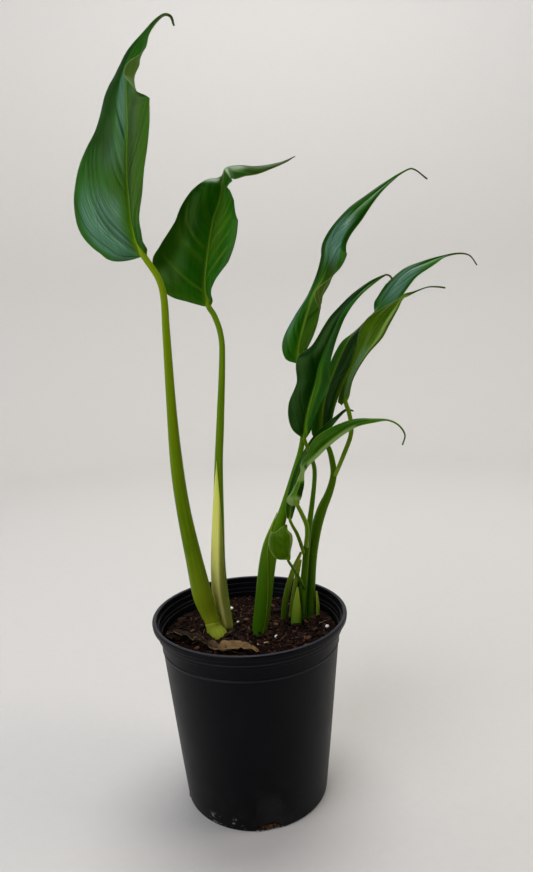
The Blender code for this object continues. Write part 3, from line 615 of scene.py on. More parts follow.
# How each blade is built, in millimetres. Spacing and sweep set its side veins, rib sets the
# width of its midrib, rib_reach is how far the stalk runs on under the midrib, waves and
# pleats are the heights of its slow waves and lengthwise pleats. quilt scales the depth of its
# creases, and rib_fades is the span along in which the midrib's colour fades. Four lists give
# toned patches: bluish patches of painted sheen, lighter ones (pale) that are partly paler
# tissue and partly painted sheen, browner ones (bronze), and darker ones of painted shade. Each
# patch gives from and to across (-1 left margin, 0 midrib, 1 right margin), from and to along
# (0 base, 1 tip), strength. patch_edge is how soft their edges are across and along.
BLADE_LOOKS = {
    "tall_leaf": {
        "spacing": 10.0,
        "sweep": 66.0,
        "quilt": 3.2,
        "rib": 1.9,
        "rib_reach": 34.0,
        "waves": 0.8,
        "seed": 5,
        "rows": 260,
        "half_columns": 56,
        "wax": (
            (-0.85, -0.15, 0.03, 0.2, 0.8),
            (-0.5, -0.1, 0.3, 0.42, 0.3),
            (-0.35, -0.02, 0.45, 0.7, 0.7),
        ),
        "pale": ((0.1, 1.1, 0.12, 0.62, 0.4), (-0.3, 0.0, 0.0, 0.4, 0.2)),
        "deep": ((-1.1, -0.4, 0.3, 0.8, 0.7), (0.2, 0.5, 0.1, 0.6, 0.5)),
    },
    "back_leaf": {
        "spacing": 11.0,
        "sweep": 38.0,
        "quilt": 0.9,
        "rib": 1.5,
        "rib_reach": 24.0,
        "waves": 0.6,
        "seed": 8,
        "half_columns": 44,
        "pale": ((0.1, 0.6, 0.2, 0.72, 0.3), (-1.1, -0.5, 0.0, 0.4, 0.2)),
        "bronze": ((-1.1, 1.1, 0.72, 1.1, 1.0),),
        "light_veins": 1.0,
        "deep": ((-0.3, 0.0, 0.5, 0.72, 0.2),),
    },
    "far_leaf": {
        "spacing": 8.0,
        "sweep": 44.0,
        "quilt": 0.9,
        "rib": 1.0,
        "rib_reach": 22.0,
        "rib_fades": (0.3, 0.4),
        "seed": 3,
        "wax": ((-0.5, 0.7, 0.42, 0.6, 0.9), (-1.1, -0.6, 0.12, 0.3, 0.5)),
        "pale": ((0.3, 1.1, 0.02, 0.3, 0.25),),
        "bronze": ((0.05, 1.1, 0.0, 0.42, 0.8),),
        "deep": ((-1.1, -0.5, 0.3, 0.9, 0.6), (0.7, 1.1, 0.5, 0.9, 0.6)),
    },
    "front_leaf": {
        "spacing": 9.0,
        "sweep": 42.0,
        "quilt": 0.5,
        "rib": 1.3,
        "rib_reach": 22.0,
        "rib_fades": (0.2, 0.4),
        "seed": 4,
        "wax": ((-0.6, 0.2, 0.62, 0.76, 0.5),),
        "pale": ((0.0, 0.5, 0.1, 0.4, 0.3),),
        "deep": ((-1.1, -0.05, 0.0, 0.9, 1.0), (0.5, 1.1, 0.0, 0.65, 0.6)),
    },
    "long_leaf": {
        "spacing": 8.0,
        "sweep": 48.0,
        "quilt": 0.6,
        "rib": 1.5,
        "rib_reach": 20.0,
        "rib_fades": (0.45, 0.6),
        "seed": 6,
        "wax": ((-0.5, 0.8, 0.57, 0.74, 0.8),),
        "pale": ((0.75, 1.1, 0.1, 0.55, 0.9), (-1.1, -0.85, 0.2, 0.5, 0.4)),
        "deep": (
            (0.1, 0.8, 0.02, 0.5, 1.0),
            (0.2, 0.7, 0.02, 0.5, 0.9),
            (-1.1, -0.6, 0.6, 0.8, 0.6),
        ),
    },
    "bright_leaf": {
        "spacing": 6.5,
        "sweep": 60.0,
        "quilt": 0.8,
        "rib": 0.8,
        "rib_reach": 14.0,
        "pleats": 0.55,
        "pleat_count": 3.0,
        "seed": 9,
        "finish": "newest_leaf_cuticle",
        "pale": ((0.6, 0.85, 0.1, 0.62, 0.7), (-0.2, 0.1, 0.15, 0.45, 0.3)),
        "wax": ((-0.3, 0.6, 0.02, 0.32, 0.7),),
        "bronze": ((-1.1, 0.5, 0.5, 1.1, 0.7),),
        "deep": (
            (0.88, 1.1, 0.1, 0.62, 0.8),
            (-1.1, -0.3, 0.0, 0.14, 0.7),
            (0.1, 0.5, 0.35, 0.6, 0.5),
        ),
    },
    "low_leaf": {
        "spacing": 6.0,
        "sweep": 34.0,
        "quilt": 0.5,
        "rib": 0.7,
        "rib_reach": 10.0,
        "pleats": 0.3,
        "seed": 2,
        "finish": "young_leaf_cuticle",
        "patch_edge": (0.06, 0.012),
        "pale": (
            (0.4, 1.1, 0.27, 0.62, 0.7),
            (-1.1, 1.1, -0.1, 0.06, 0.8),
            (-0.7, 1.1, 0.16, 0.25, 0.8),
            (-1.1, -0.6, 0.06, 0.16, 0.5),
        ),
        "deep": (
            (-1.1, 0.1, 0.27, 0.7, 0.5),
            (0.1, 1.1, 0.07, 0.15, 1.0),
            (0.1, 1.1, 0.25, 0.27, 0.8),
        ),
    },
    "hidden_leaf": {
        "spacing": 6.0,
        "sweep": 30.0,
        "quilt": 0.5,
        "rib": 0.7,
        "rib_reach": 10.0,
        "deep": ((-1.1, 1.1, -0.1, 1.1, 0.6),),
    },
    "spoon_leaf": {
        "spacing": 4.0,
        "sweep": 9.0,
        "quilt": 0.5,
        "rib": 0.4,
        "rib_reach": 6.0,
        "waves": 0.2,
        "rib_fades": (0.0, 0.1),
        "finish": "newest_leaf_cuticle",
        "pale": ((0.6, 1.1, 0.15, 0.95, 0.6), (-1.1, -0.88, 0.2, 0.9, 0.7)),
        "deep": ((-0.8, 0.35, 0.1, 0.85, 0.35),),
    },
}
BLADE_ROWS = 220
BLADE_HALF_COLUMNS = 26
STALK_STEP = 1.6  # distance between the rings of a stalk
STALK_RIBS = 0.012  # height of its ribs as a share of its radius
RIB_COUNT = 11
STEM_STEP = 0.8
STEM_NODE_HEIGHT = 150.5  # height at which left_stem swells a little
SHEATH_STEP = 2.0
SHEATH_GRID = (90, 33)  # rows and columns
SHEATH_STAND_OFF = 0.55  # how far a sheath stands off its stalk's skin
SHEATH_SUNK = 14  # how far a sheath runs on under the height that is listed
SHEATH_THICKNESS = 0.7
STRAP_GRID = (70, 10)  # rows and columns in each half
STRAP_THICKNESS = 0.8
STRAP_BELLY = 0.10  # how far each half of a strap is pushed out, as a share of its width
DRY_LEAF_GRID = (220, 22)
DRY_LEAF_THICKNESS = 0.28
DRY_LEAF_LOWEST = 141.6  # height under which no part of the dry leaf goes
DRY_VEIN_SPACING = 4.0
DRY_VEIN_SWEEP = 10.0
TEAR_SIZE = 10.0  # size of the noise that places the dry leaf's tears
TEAR_WIDTH = 0.35  # as a share of the noise's height
TEAR_DEPTH = 0.6  # as a share of the half leaf's width
CRUMPLES = ((1.3, 9.0, 3), (0.6, 3.5, 4))  # depth, size and seed of its crumples

# Stalks that spring from beside another stalk and have no root of their own.
SPRINGS = ("bright_stalk", "low_stalk", "hidden_stalk", "spoon_stalk")
ROOT_LEVEL = 119.5  # height in the soil at which the rooted stalks end
# The leaf that a stalk carries, its skin, and its channel's depth as a share of its radius.
STALK_LOOKS = {
    "tall_stalk": ("tall_leaf", "olive_stalk_skin", 0.06),
    "back_stalk": ("back_leaf", "green_stalk_skin", 0.05),
    "thick_stalk": ("far_leaf", "deep_stalk_skin", 0.05),
    "front_stalk": ("front_leaf", "deep_stalk_skin", 0.08),
    "long_stalk": ("long_leaf", "deep_stalk_skin", 0.10),
    "bright_stalk": ("bright_leaf", "green_stalk_skin", 0.10),
    "low_stalk": ("low_leaf", "green_stalk_skin", 0.10),
    "hidden_stalk": ("hidden_leaf", "green_stalk_skin", 0.10),
    "spoon_stalk": ("spoon_leaf", "deep_stalk_skin", 0.10),
}
SHEATH_FINISHES = {
    "pale_sheath": "pale_sheath_tissue",
    "thick_stalk_sheath": "green_sheath_tissue",
}


def blade_look(name, leaf):
    """The build of one blade: its own numbers over those that all blades share."""
    shared = {
        "rows": BLADE_ROWS,
        "half_columns": BLADE_HALF_COLUMNS,
        "thickness": leaf.thickness / MM,
        "margin": leaf.margin / MM,
        "finish": "mature_leaf_cuticle",
        "rib_fades": (0.5, 0.8),
        "waves": 0.4,
        "wave_size": 16.0,
        "pleats": 0.0,
        "pleat_count": 2.0,
        "seed": 1,
        "light_veins": 0.0,
        "patch_edge": (0.08, 0.05),
        "wax": (),
        "pale": (),
        "bronze": (),
        "deep": (),
    }
    look = {**shared, **BLADE_LOOKS[name]}
    look["quilt"] *= leaf.quilting / MM
    return look


# Large odd numbers that scatter the corners of a lattice over a table of random numbers.
LATTICE_STEPS = (374761393, 668265263, 83492791)
LATTICE_STIR = 1274126177


def place_noise(points, cell, seed):
    """Smooth random heights from -1 to 1: fixed random numbers on the corners of a lattice with
    the given cell size, blended inside each cell by smoothstep weights."""
    scaled = np.asarray(points, dtype=float) / cell
    corner = np.floor(scaled).astype(np.int64)
    inside = scaled - corner
    inside = inside * inside * (3 - 2 * inside)
    table = np.random.default_rng(seed).uniform(-1, 1, 4096)
    total = np.zeros(scaled.shape[:-1])
    for step in itertools.product((0, 1), repeat=3):
        lattice = corner + np.array(step)
        mixed = sum(lattice[..., axis] * LATTICE_STEPS[axis] for axis in range(3))
        mixed = (mixed ^ (mixed >> 13)) * LATTICE_STIR
        weight = np.where(np.array(step) == 1, inside, 1 - inside).prod(axis=-1)
        total += table[(mixed ^ (mixed >> 16)) & 4095] * weight
    return total


def fade(values, start, end):
    """Smoothstep: 0 at start, 1 at end, flat at both."""
    share = np.clip((np.asarray(values, dtype=float) - start) / (end - start), 0, 1)
    return share * share * (3 - 2 * share)


def unit(vectors):
    """Vectors over their own lengths."""
    return vectors / np.maximum(np.linalg.norm(vectors, axis=-1, keepdims=True), 1e-9)


def curve_through(knots, values, places):
    """Catmull-Rom curves through the values at their knots, read at the given places."""
    knots = np.asarray(knots, dtype=float)
    values = np.asarray(values, dtype=float)
    padded = np.concatenate([[2 * values[0] - values[1]], values, [2 * values[-1] - values[-2]]])
    padded_knots = np.concatenate([[2 * knots[0] - knots[1]], knots, [2 * knots[-1] - knots[-2]]])
    column = (-1,) + (1,) * (values.ndim - 1)
    slopes = (padded[2:] - padded[:-2]) / (padded_knots[2:] - padded_knots[:-2]).reshape(column)
    before = np.clip(np.searchsorted(knots, places, side="right") - 1, 0, len(knots) - 2)
    width = (knots[before + 1] - knots[before]).reshape(column)
    t = (places - knots[before]).reshape(column) / width
    return (
        (2 * t**3 - 3 * t**2 + 1) * values[before]
        + (t**3 - 2 * t**2 + t) * width * slopes[before]
        + (3 * t**2 - 2 * t**3) * values[before + 1]
        + (t**3 - t**2) * width * slopes[before + 1]
    )


def smooth_rails(stations, rows):
    """Smooth rails through the stations, read at even steps of the mean rail's length."""
    points = np.asarray(stations, dtype=float)
    steps = np.linalg.norm(np.diff(points, axis=0), axis=2).mean(axis=1)
    knots = np.concatenate([[0.0], np.cumsum(steps)])
    return curve_through(knots, points, np.linspace(0, knots[-1], rows))


def smooth_line(points, rows):
    """One smooth line through the points, read at even steps of its length."""
    points = np.asarray(points, dtype=float)
    knots = lengths_along(points[:, :3])
    return curve_through(knots, points, np.linspace(0, knots[-1], rows))


def lengths_along(line):
    """Distance walked along a line of places, row by row."""
    return np.concatenate([[0.0], np.cumsum(np.linalg.norm(np.diff(line, axis=0), axis=1))])


def ring_faces(rows, around):
    """Quads between neighbouring rings, closed round each ring, and a cap at each end."""
    low = np.arange(rows - 1)[:, None] * around + np.arange(around)
    turned = np.roll(low, -1, axis=1)
    quads = np.stack([low, turned, turned + around, low + around], axis=-1).reshape(-1, 4)
    first = list(range(around))[::-1]
    last = [(rows - 1) * around + index for index in range(around)]
    return quads, [first, last]


def ring_mesh(name, stacks):
    """A mesh in metres from stacks of rings (stacks, rows, places round, 3) in millimetres."""
    count, rows, around = stacks.shape[:3]
    quads, caps = ring_faces(rows, around)
    start = np.arange(count)[:, None, None] * rows * around
    faces = (quads[None] + start).reshape(-1, 4).tolist()
    faces += (np.asarray(caps)[None] + start).reshape(-1, around).tolist()
    mesh = bpy.data.meshes.new(name)
    mesh.from_pydata((stacks.reshape(-1, 3) * MM).tolist(), [], faces)
    return mesh


def new_piece(name, rings, finishes, node_names, marks=None, second=None):
    """A closed piece from its rings (rows, places round, 3), in millimetres.

    marks holds a number per place under each name, second tells which places round
    each ring start a face with the second finish, and the piece stands for node_names.
    """
    mesh = ring_mesh(name, rings[None])
    if second is not None:
        finish_index = np.concatenate([np.tile(second, len(rings) - 1), [0, 0]])
        mesh.polygons.foreach_set("material_index", finish_index.astype(np.int32))
    finish_piece(name, mesh, finishes, node_names, marks)


def finish_piece(name, mesh, finishes, node_names, marks=None):
    """Puts a mesh in the scene with its finishes and marks, riding on the frame's one body."""
    for key, values in (marks or {}).items():
        attribute = mesh.attributes.new(key, "FLOAT", "POINT")
        attribute.data.foreach_set("value", np.asarray(values, dtype=np.float32).ravel())
    for finish in finishes:
        mesh.materials.append(bpy.data.materials[finish])
    mesh.shade_smooth()
    mesh.validate()
    piece = bpy.data.objects.new(name, mesh)
    bpy.context.scene.collection.objects.link(piece)
    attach(piece, "root")
    if node_names:
        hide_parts(*node_names)


# ---- thin living sheets


def bulge(direction, reach, belly):
    """How far a half blade stands out: a share of its own width along the given direction."""
    return unit(direction) * np.linalg.norm(reach) * belly


def strap_rails(stations, belly):
    """Both edges, the middle and the place between them of each half, at each station.

    A half lies midway between middle and edge, pushed out by the belly.
    """
    full = []
    for index, station in enumerate(stations):
        left, mid, right = (np.asarray(place, dtype=float) for place in station)
        ahead = np.asarray(stations[min(index + 1, len(stations) - 1)][1], dtype=float)
        behind = np.asarray(stations[max(index - 1, 0)][1], dtype=float)
        along = ahead - behind
        left_out = bulge(np.cross(along, left - mid), left - mid, belly)
        right_out = bulge(np.cross(right - mid, along), right - mid, belly)
        left_half, right_half = (left + mid) / 2 + left_out, (right + mid) / 2 + right_out
        full.append((left, left_half, mid, right_half, right))
    return full


def blade_rails(setting, rows):
    """Left margin, left half, midrib, right half and right margin on each row of a blade.

    Each margin stands off the midrib by its settings. The place half-way to it lies on the arc
    that turns by the curl between midrib and margin: its chord is the reach over twice the
    cosine of a quarter of the curl, and its direction is short of the margin's by that quarter.
    """
    shares = np.linspace(0, 1, rows)
    midrib = smooth_line(setting["midrib"], rows)
    ahead = unit(np.gradient(midrib, axis=0))
    sideways = unit(np.cross((0.0, 1.0, 0.0), ahead))
    away = np.cross(ahead, sideways)
    bends = np.asarray(setting.get("roll", NO_ROLL), dtype=float)
    rolled = curve_through(bends[:, 0], bends[:, 1], shares)
    rails = {0: midrib}
    for side, half, curl in ((-1, "left", BLADE_CURL), (1, "right", rolled)):
        keys = np.asarray(setting[half], dtype=float)
        reach, direction, lead = curve_through(keys[:, 0], keys[:, 1:], shares).T
        quarter = np.radians(curl) / 4
        direction = np.radians(direction)
        for part, length, angle in (
            (1, reach / (2 * np.cos(quarter)), direction - quarter),
            (2, reach, direction),
        ):
            rails[side * part] = (
                midrib
                + (side * length * np.cos(angle))[:, None] * sideways
                + (length * np.sin(angle))[:, None] * away
                + (lead * part / 2)[:, None] * ahead
            )
    return np.stack([rails[place] for place in (-2, -1, 0, 1, 2)], axis=1)


def sheet_over(rails, half_columns):
    """A sheet over five rails: each half of a row is the parabola through its three places."""
    share = np.linspace(0, 1, half_columns + 1)[None, :, None]
    weights = (2 * (share - 0.5) * (share - 1), 4 * share * (1 - share), 2 * share * (share - 0.5))
    halves = [
        sum(weight * rails[:, None, rail] for weight, rail in zip(weights, order))
        for order in ((2, 1, 0), (2, 3, 4))
    ]
    return np.concatenate([halves[0][:, ::-1], halves[1][:, 1:]], axis=1)


def strap_sheet(stations, rows, half_columns):
    """A sheet over the stations of a strap, each half pushed out by a tenth of its width."""
    return sheet_over(smooth_rails(strap_rails(stations, STRAP_BELLY), rows), half_columns)


def sheet_normals(sheet):
    """Directions square to a sheet, on its front: across times along."""
    across = np.gradient(sheet, axis=1)
    along = np.gradient(sheet, axis=0)
    return unit(np.cross(unit(across), unit(along)))


def wrapped(front, back):
    """Rings round a sheet: its front from left to right, then its back from right to left."""
    shared = (front[:, [0, -1]] + back[:, [0, -1]]) / 2
    front = front.copy()
    front[:, [0, -1]] = shared
    return np.concatenate([front, back[:, -2:0:-1]], axis=1)


def wrapped_marks(values):
    """The same numbers on both faces of a sheet, in the order of its rings."""
    return np.concatenate([values, values[:, -2:0:-1]], axis=1)


def new_sheet(name, front, back, finishes, node_name, marks, second=None):
    """A closed piece from the two faces of a sheet, with the same marks on both."""
    marks = {key: wrapped_marks(values) for key, values in marks.items()}
    new_piece(name, wrapped(front, back), finishes, [node_name], marks, second)


# Shape of every blade's side veins, midrib and margin.
VEIN_BEND = 1.25  # power of the share across that bends a side vein towards the tip
CREASE_WIDTH = 0.55  # width of a pressed vein, in the sine of the phase
RIB_FLARE = 1.1  # how much wider the midrib is at the very base
RIB_FLARE_REACH = 0.09  # share along over which that extra width dies away
RIB_TAPER = 0.8  # share of its width that is gone at the tip
RIB_VALLEY = 0.3  # its depth in the upper face, as a share of its half width
RIB_RIDGE = 0.9  # its height under the lower face, as a share of its half width
MARGIN_THICKNESS = 0.35  # thickness at the margin, as a share of the blade's
CHANNEL_WIDTH = 0.45  # width of a stalk's channel, in radians


def places_on(sheet):
    """Signed share across each place of a sheet, and its distances from the midrib and along."""
    rows, columns = sheet.shape[:2]
    middle = columns // 2
    side = np.linspace(-1, 1, columns)[None, :].repeat(rows, axis=0)
    along = lengths_along(sheet[:, middle])[:, None].repeat(columns, axis=1)
    steps = np.linalg.norm(np.diff(sheet, axis=1), axis=2)
    crossed = np.concatenate([np.zeros((rows, 1)), np.cumsum(steps, axis=1)], axis=1)
    beside = np.abs(crossed - crossed[:, middle : middle + 1])
    return side, beside, along


def near_margin(beside, start, end):
    """0 further than start from the margin, 1 nearer to it than end, by the distances
    from the midrib."""
    width = np.maximum(beside.max(axis=1, keepdims=True), 0.01)
    return fade(beside, width - start, width - end)


def vein_phase(side, along, spacing, sweep):
    """Where each place lies among the side veins: whole numbers are on a vein.

    The phase is the distance along the midrib less a sweep that grows with the share of the
    half blade crossed to a power, so that lines of equal phase leave the midrib at a sharp
    angle and bend towards the margin. A slow sine makes the spacing uneven.
    """
    phase = (along - sweep * np.abs(side) ** VEIN_BEND) / spacing
    return phase + 0.3 * np.sin(1.9 * phase + 2.1 * np.sign(side))


def vein_strength(phase, side, seed):
    """How deep each side vein is pressed, from 0 to 1: a fixed random number per vein, squared
    so that only a few stand out. It changes half-way between veins, where nothing is drawn."""
    table = np.random.default_rng(seed).uniform(0, 1, 512) ** 2
    return table[(np.rint(phase).astype(np.int64) + 256 * (side > 0)) & 511]


def span(values, low, high, edge):
    """1 between low and high, fading to 0 over a soft edge on either side."""
    return fade(values, low - edge, low + edge) * (1 - fade(values, high - edge, high + edge))


def toned(side, towards_tip, look, kind):
    """Adds up one kind of soft-edged patch on a blade: each runs over a span of the signed
    share across and a span along, and has its own strength."""
    across_edge, along_edge = look["patch_edge"]
    total = np.zeros(side.shape)
    for left, right, low, high, strength in look[kind]:
        over = span(side, left, right, across_edge)
        total += strength * over * span(towards_tip, low, high, along_edge)
    return np.clip(total, 0, 1)


def blade_lift(sheet, look, share, towards_tip, crease):
    """How far the middle of a blade is lifted off its plain sheet at each place, but for the
    midrib: down in the pressed side veins, up and down in its waves and pleats."""
    pressed = fade(share, 0.02, 0.15) * (1 - fade(share, 0.6, 0.98))
    veins = -look["quilt"] * crease * pressed * (1 - fade(towards_tip, 0.3, 0.6))
    waves = look["waves"] * place_noise(sheet, look["wave_size"], look["seed"])
    gathered = fade(towards_tip, 0.0, 0.1) * (1 - fade(towards_tip, 0.7, 0.95))
    pleats = look["pleats"] * np.sin(math.pi * look["pleat_count"] * share)
    return veins + waves * fade(share, 0.0, 0.35) + pleats * gathered


def blade_surface(setting, look):
    """Upper and lower face of a leaf blade and the marks that its finish reads.

    A few side veins are pressed into the blade as narrow creases: a Gaussian over the sine of
    the phase. Lengthwise pleats are a sine over the share across. The midrib is a valley on
    the upper face, a Gaussian over its width, and a rounded ridge on the lower, widest at
    the base and fading towards the tip.
    """
    sheet = sheet_over(blade_rails(setting, look["rows"]), look["half_columns"])
    normals = sheet_normals(sheet)
    side, beside, along = places_on(sheet)
    phase = vein_phase(side, along, look["spacing"], look["sweep"])
    share = np.abs(side)
    towards_tip = along / along[-1, 0]
    strength = vein_strength(phase, side, look["seed"])
    crease = np.exp(-((np.sin(math.pi * phase) / CREASE_WIDTH) ** 2)) * strength
    flare = 1 + RIB_FLARE * np.exp(-towards_tip / RIB_FLARE_REACH)
    rib_width = look["rib"] * flare * (1 - RIB_TAPER * towards_tip)
    on_rib = rib_width * np.exp(-((beside / rib_width) ** 2))
    lift = blade_lift(sheet, look, share, towards_tip, crease) - RIB_VALLEY * on_rib
    full = np.sqrt(np.clip(1 - share**6, 0, 1))
    half_thick = look["thickness"] / 2 * (MARGIN_THICKNESS + (1 - MARGIN_THICKNESS) * full)
    upper_face = sheet + normals * (lift + half_thick)[..., None]
    lower_face = sheet + normals * (lift - half_thick - RIB_RIDGE * on_rib)[..., None]
    drawn = crease * fade(share, 0.02, 0.12)
    near_rib = np.exp(-((beside / (rib_width * 1.2)) ** 2))
    marks = {
        # pressed side veins: the upper faces paint shade into these creases, the underside a
        # lighter vein
        "vein_and_crease_shade": (1 - look["light_veins"]) * drawn * (1 - fade(towards_tip, 0.45, 0.75)),
        "midrib": near_rib * (1 - fade(towards_tip, *look["rib_fades"])),
        "light_vein": look["light_veins"] * drawn * (1 - fade(share, 0.7, 0.95)),
        "margin": near_margin(beside, look["margin"], look["margin"] * 0.3),
        "phase": phase * look["spacing"],
        "across": beside,
        "along": along,
        "towards_tip": towards_tip,
    }
    # toned patches, among them painted sheen and painted shade
    for kind in ("wax", "pale", "bronze", "deep"):
        marks[kind] = toned(side, towards_tip, look, kind)
    return upper_face, lower_face, marks


def make_blade(name, setting, look):
    """One blade: its two faces as the halves of closed rings, each with its own finish."""
    upper_face, lower_face, marks = blade_surface(setting, look)
    columns = upper_face.shape[1]
    on_back = np.arange(2 * columns - 2) >= columns - 1
    finishes = [look["finish"], "leaf_underside"]
    new_sheet(name + "_blade", upper_face, lower_face, finishes, name, marks, on_back)


def stalk_line(points, step, run_on=None):
    """The smooth centre line and radius of a stalk, running on into the soil if it is rooted."""
    points = [list(point) for point in points]
    if run_on is not None:
        points.append([points[-1][0], points[-1][1], run_on, points[-1][3] * 0.8])
    line = np.asarray(points, dtype=float)
    return smooth_line(line, max(8, int(lengths_along(line[:, :3])[-1] / step)))


def carried_frame(line):
    """Two directions square to the line at each row, carried along it without twisting."""
    along = unit(np.gradient(line, axis=0))
    side = np.empty_like(along)
    side[0] = unit(np.cross(along[0], (0.0, 1.0, 0.0)))
    for row in range(1, len(along)):
        side[row] = side[row - 1] - along[row] * (side[row - 1] @ along[row])
    side = unit(side)
    return side, np.cross(along, side)


def round_line(line, reach, angle, side, ahead):
    """Places round a line at a reach and an angle, from its side direction to the one ahead."""
    return (
        line[:, None, :3]
        + (reach * np.cos(angle))[..., None] * side[:, None]
        + (reach * np.sin(angle))[..., None] * ahead[:, None]
    )


def stalk_rings(line, sides, channel=0.0, ribs=0.0):
    """Rings of a stalk: a circle with a channel in front and fine ribs round it.

    The radius at each angle is the stalk's own, less the channel's depth times a Gaussian
    over the angle from the front, plus a small cosine for the ribs.
    """
    side, ahead = carried_frame(line[:, :3])
    angle = np.linspace(0, 2 * math.pi, sides, endpoint=False)[None, :]
    from_front = np.angle(np.exp(1j * (angle - math.pi / 2)))
    hollow = channel * np.exp(-((from_front / CHANNEL_WIDTH) ** 2))
    reach = line[:, 3:4] * (1 - hollow + ribs * np.cos(RIB_COUNT * angle))
    return round_line(line, reach, angle, side, ahead)


def make_stalk(name, line, rings, finish):
    """A stalk with marks for the distance down it and for the angle round it."""
    rows, sides = rings.shape[:2]
    down = lengths_along(line[:, :3])[:, None].repeat(sides, axis=1)
    turn = np.linspace(0, 1, sides, endpoint=False)[None, :].repeat(rows, axis=0)
    folded = 1 - np.abs(2 * turn - 1)
    marks = {"down": down, "towards_root": down / down.max(), "turn": folded}
    new_piece(name + "_skin", rings, [finish], [name], marks)


def rib_under(setting, look, radius):
    """The stalk's own run on under the midrib: places and shrinking radii, far end first."""
    sheet = sheet_over(blade_rails(setting, look["rows"]), look["half_columns"])
    normals = sheet_normals(sheet)
    middle = sheet.shape[1] // 2
    along = lengths_along(sheet[:, middle])
    points = []
    for share in (1.0, 0.72, 0.45, 0.2):
        row = int(np.searchsorted(along, look["rib_reach"] * share))
        size = radius * (1 - 0.85 * share)
        place = sheet[row, middle] - normals[row, middle] * size * 0.9
        points.append((*place, size))
    return points


def sheath_sheet(line, low, high, middle, widest):
    """A strip on a stalk: full width at its foot, closing to a point at its top.

    The half angle is the widest times one less the cube of the share risen, and the strip
    keeps its stand-off from the stalk's skin.
    """
    rows, columns = SHEATH_GRID
    order = np.argsort(line[:, 2])
    heights = np.linspace(low, high, rows)
    path = np.stack([np.interp(heights, line[order, 2], line[order, k]) for k in range(4)], axis=1)
    upward = unit(np.gradient(path[:, :3], axis=0))
    across = unit(np.cross((0.0, 1.0, 0.0), upward))
    away = np.cross(upward, across)
    risen = np.linspace(0, 1, rows)[:, None]
    half = widest * np.maximum(1 - risen**3, 0.02)
    angle = np.radians(middle + half * np.linspace(-1, 1, columns)[None, :])
    reach = path[:, 3:4] + SHEATH_STAND_OFF
    return round_line(path, reach, angle, across, away)


def make_strip(name, sheet, thickness, finish):
    """A thin strip such as a sheath or an old leaf base, thinner towards its edges."""
    side, beside, along = places_on(sheet)
    half = thickness / 2 * np.sqrt(np.clip(1.04 - side**4, 0.04, 1))
    marks = {
        "margin": near_margin(beside, 0.9, 0.2),
        "down": along.max() - along,
        "towards_root": 1 - along / along.max(),
        "across": beside * np.sign(side),
    }
    outward = sheet_normals(sheet) * half[..., None]
    front, back = sheet + outward, sheet - outward
    new_sheet(name + "_strip", front, back, [finish], name, marks)


def torn(sheet):
    """A sheet whose margins are drawn in by narrow tears where a noise crosses zero."""
    edge = np.abs(np.linspace(-1, 1, sheet.shape[1]))[None, :]
    tears = np.clip(1 - np.abs(place_noise(sheet, TEAR_SIZE, 6)) / TEAR_WIDTH, 0, 1)
    middle = sheet.mean(axis=1, keepdims=True)
    return middle + (sheet - middle) * (1 - TEAR_DEPTH * tears * edge**2)[..., None]


def crumpled(sheet):
    """A sheet pushed in and out by noise at two sizes, most at its margins."""
    edge = np.abs(np.linspace(-1, 1, sheet.shape[1]))[None, :]
    crumple = sum(depth * place_noise(sheet, size, seed) for depth, size, seed in CRUMPLES)
    return sheet + sheet_normals(sheet) * (crumple * (0.5 + 0.9 * edge))[..., None]


# ---- pot and soil

# Sizes of the pot and the soil that no setting holds.
POT_MIDDLE = 0.2  # radius of the small cap in the middle of the underside and of the floor
POT_CORNER = 2.4  # height up to which the bottom corner is rounded
POT_RECESS = 1.2  # how far the middle of the underside stands off the ground
POT_RECESS_RADII = (52, 54)  # between them the underside slopes down to the foot
POT_FLOOR = 2.2  # height of the inside floor
RAISED_LINE = ((-1.1, 0), (-0.4, 0.5), (0.4, 0.5), (1.1, 0))  # profile: rise, how far it is proud
CUTTER_REACH = 7.0  # how far the cutter of a drain hole runs on either side of the wall
CUTTER_FACETS = 72
SOIL_STEPS = 300  # places round the soil
SOIL_FOOT = 2.5  # height of the soil's underside
SOIL_MIDDLE = 0.3  # radius of the small cap in the middle of the soil's underside and top
SOIL_GAP = 0.3  # gap between the soil's side and the wall
SOIL_TOP_GAP = 0.25  # the same at its top
SOIL_TILT = 0.8  # how much higher the soil is at the right wall than in the middle
SOIL_RADIUS = 76.8
SOIL_NOISES = ((24.0, 1.1), (7.0, 0.55), (2.6, 0.4))  # size of the clods, share of the roughness
CRUMB_GAP = 1.5  # how far loose crumbs keep from the wall
CRUMB_SIZES = (1.2, 3.2)
CHIP_SIZES = (3.5, 8.5)
CHIP_FLATNESS = 0.55
GRAIN_SHAPES = ((0.7, 0.5, 0.35), (1.3, 0.9, 0.8))  # least and most of its size along its axes
GRAIN_LEAN = 0.6  # how far a grain may lean, in radians
FIBRE_DRIFT = 0.35  # how far a fibre's heading drifts from step to step, in radians
FIBRE_STEPS = (0.8, 2.0)
FIBRE_RADII = (0.12, 0.38)
TWIG_RADII = (0.9, 0.5)  # at its two ends
# The plug of washed-out mix in each drain hole.
PLUG_GRAINS = 150
PLUG_GRAIN_RADII = (0.7, 1.15)
PLUG_WIDTH = 0.72  # half its width, as a share of the hole's radius
PLUG_FOOT = 1.5  # height of its lowest grains
PLUG_HEADROOM = 3.5  # the heap's height is the arch's less this
PLUG_DEPTHS = (1.0, 5.0)  # how far inside the pot's base radius its grains lie


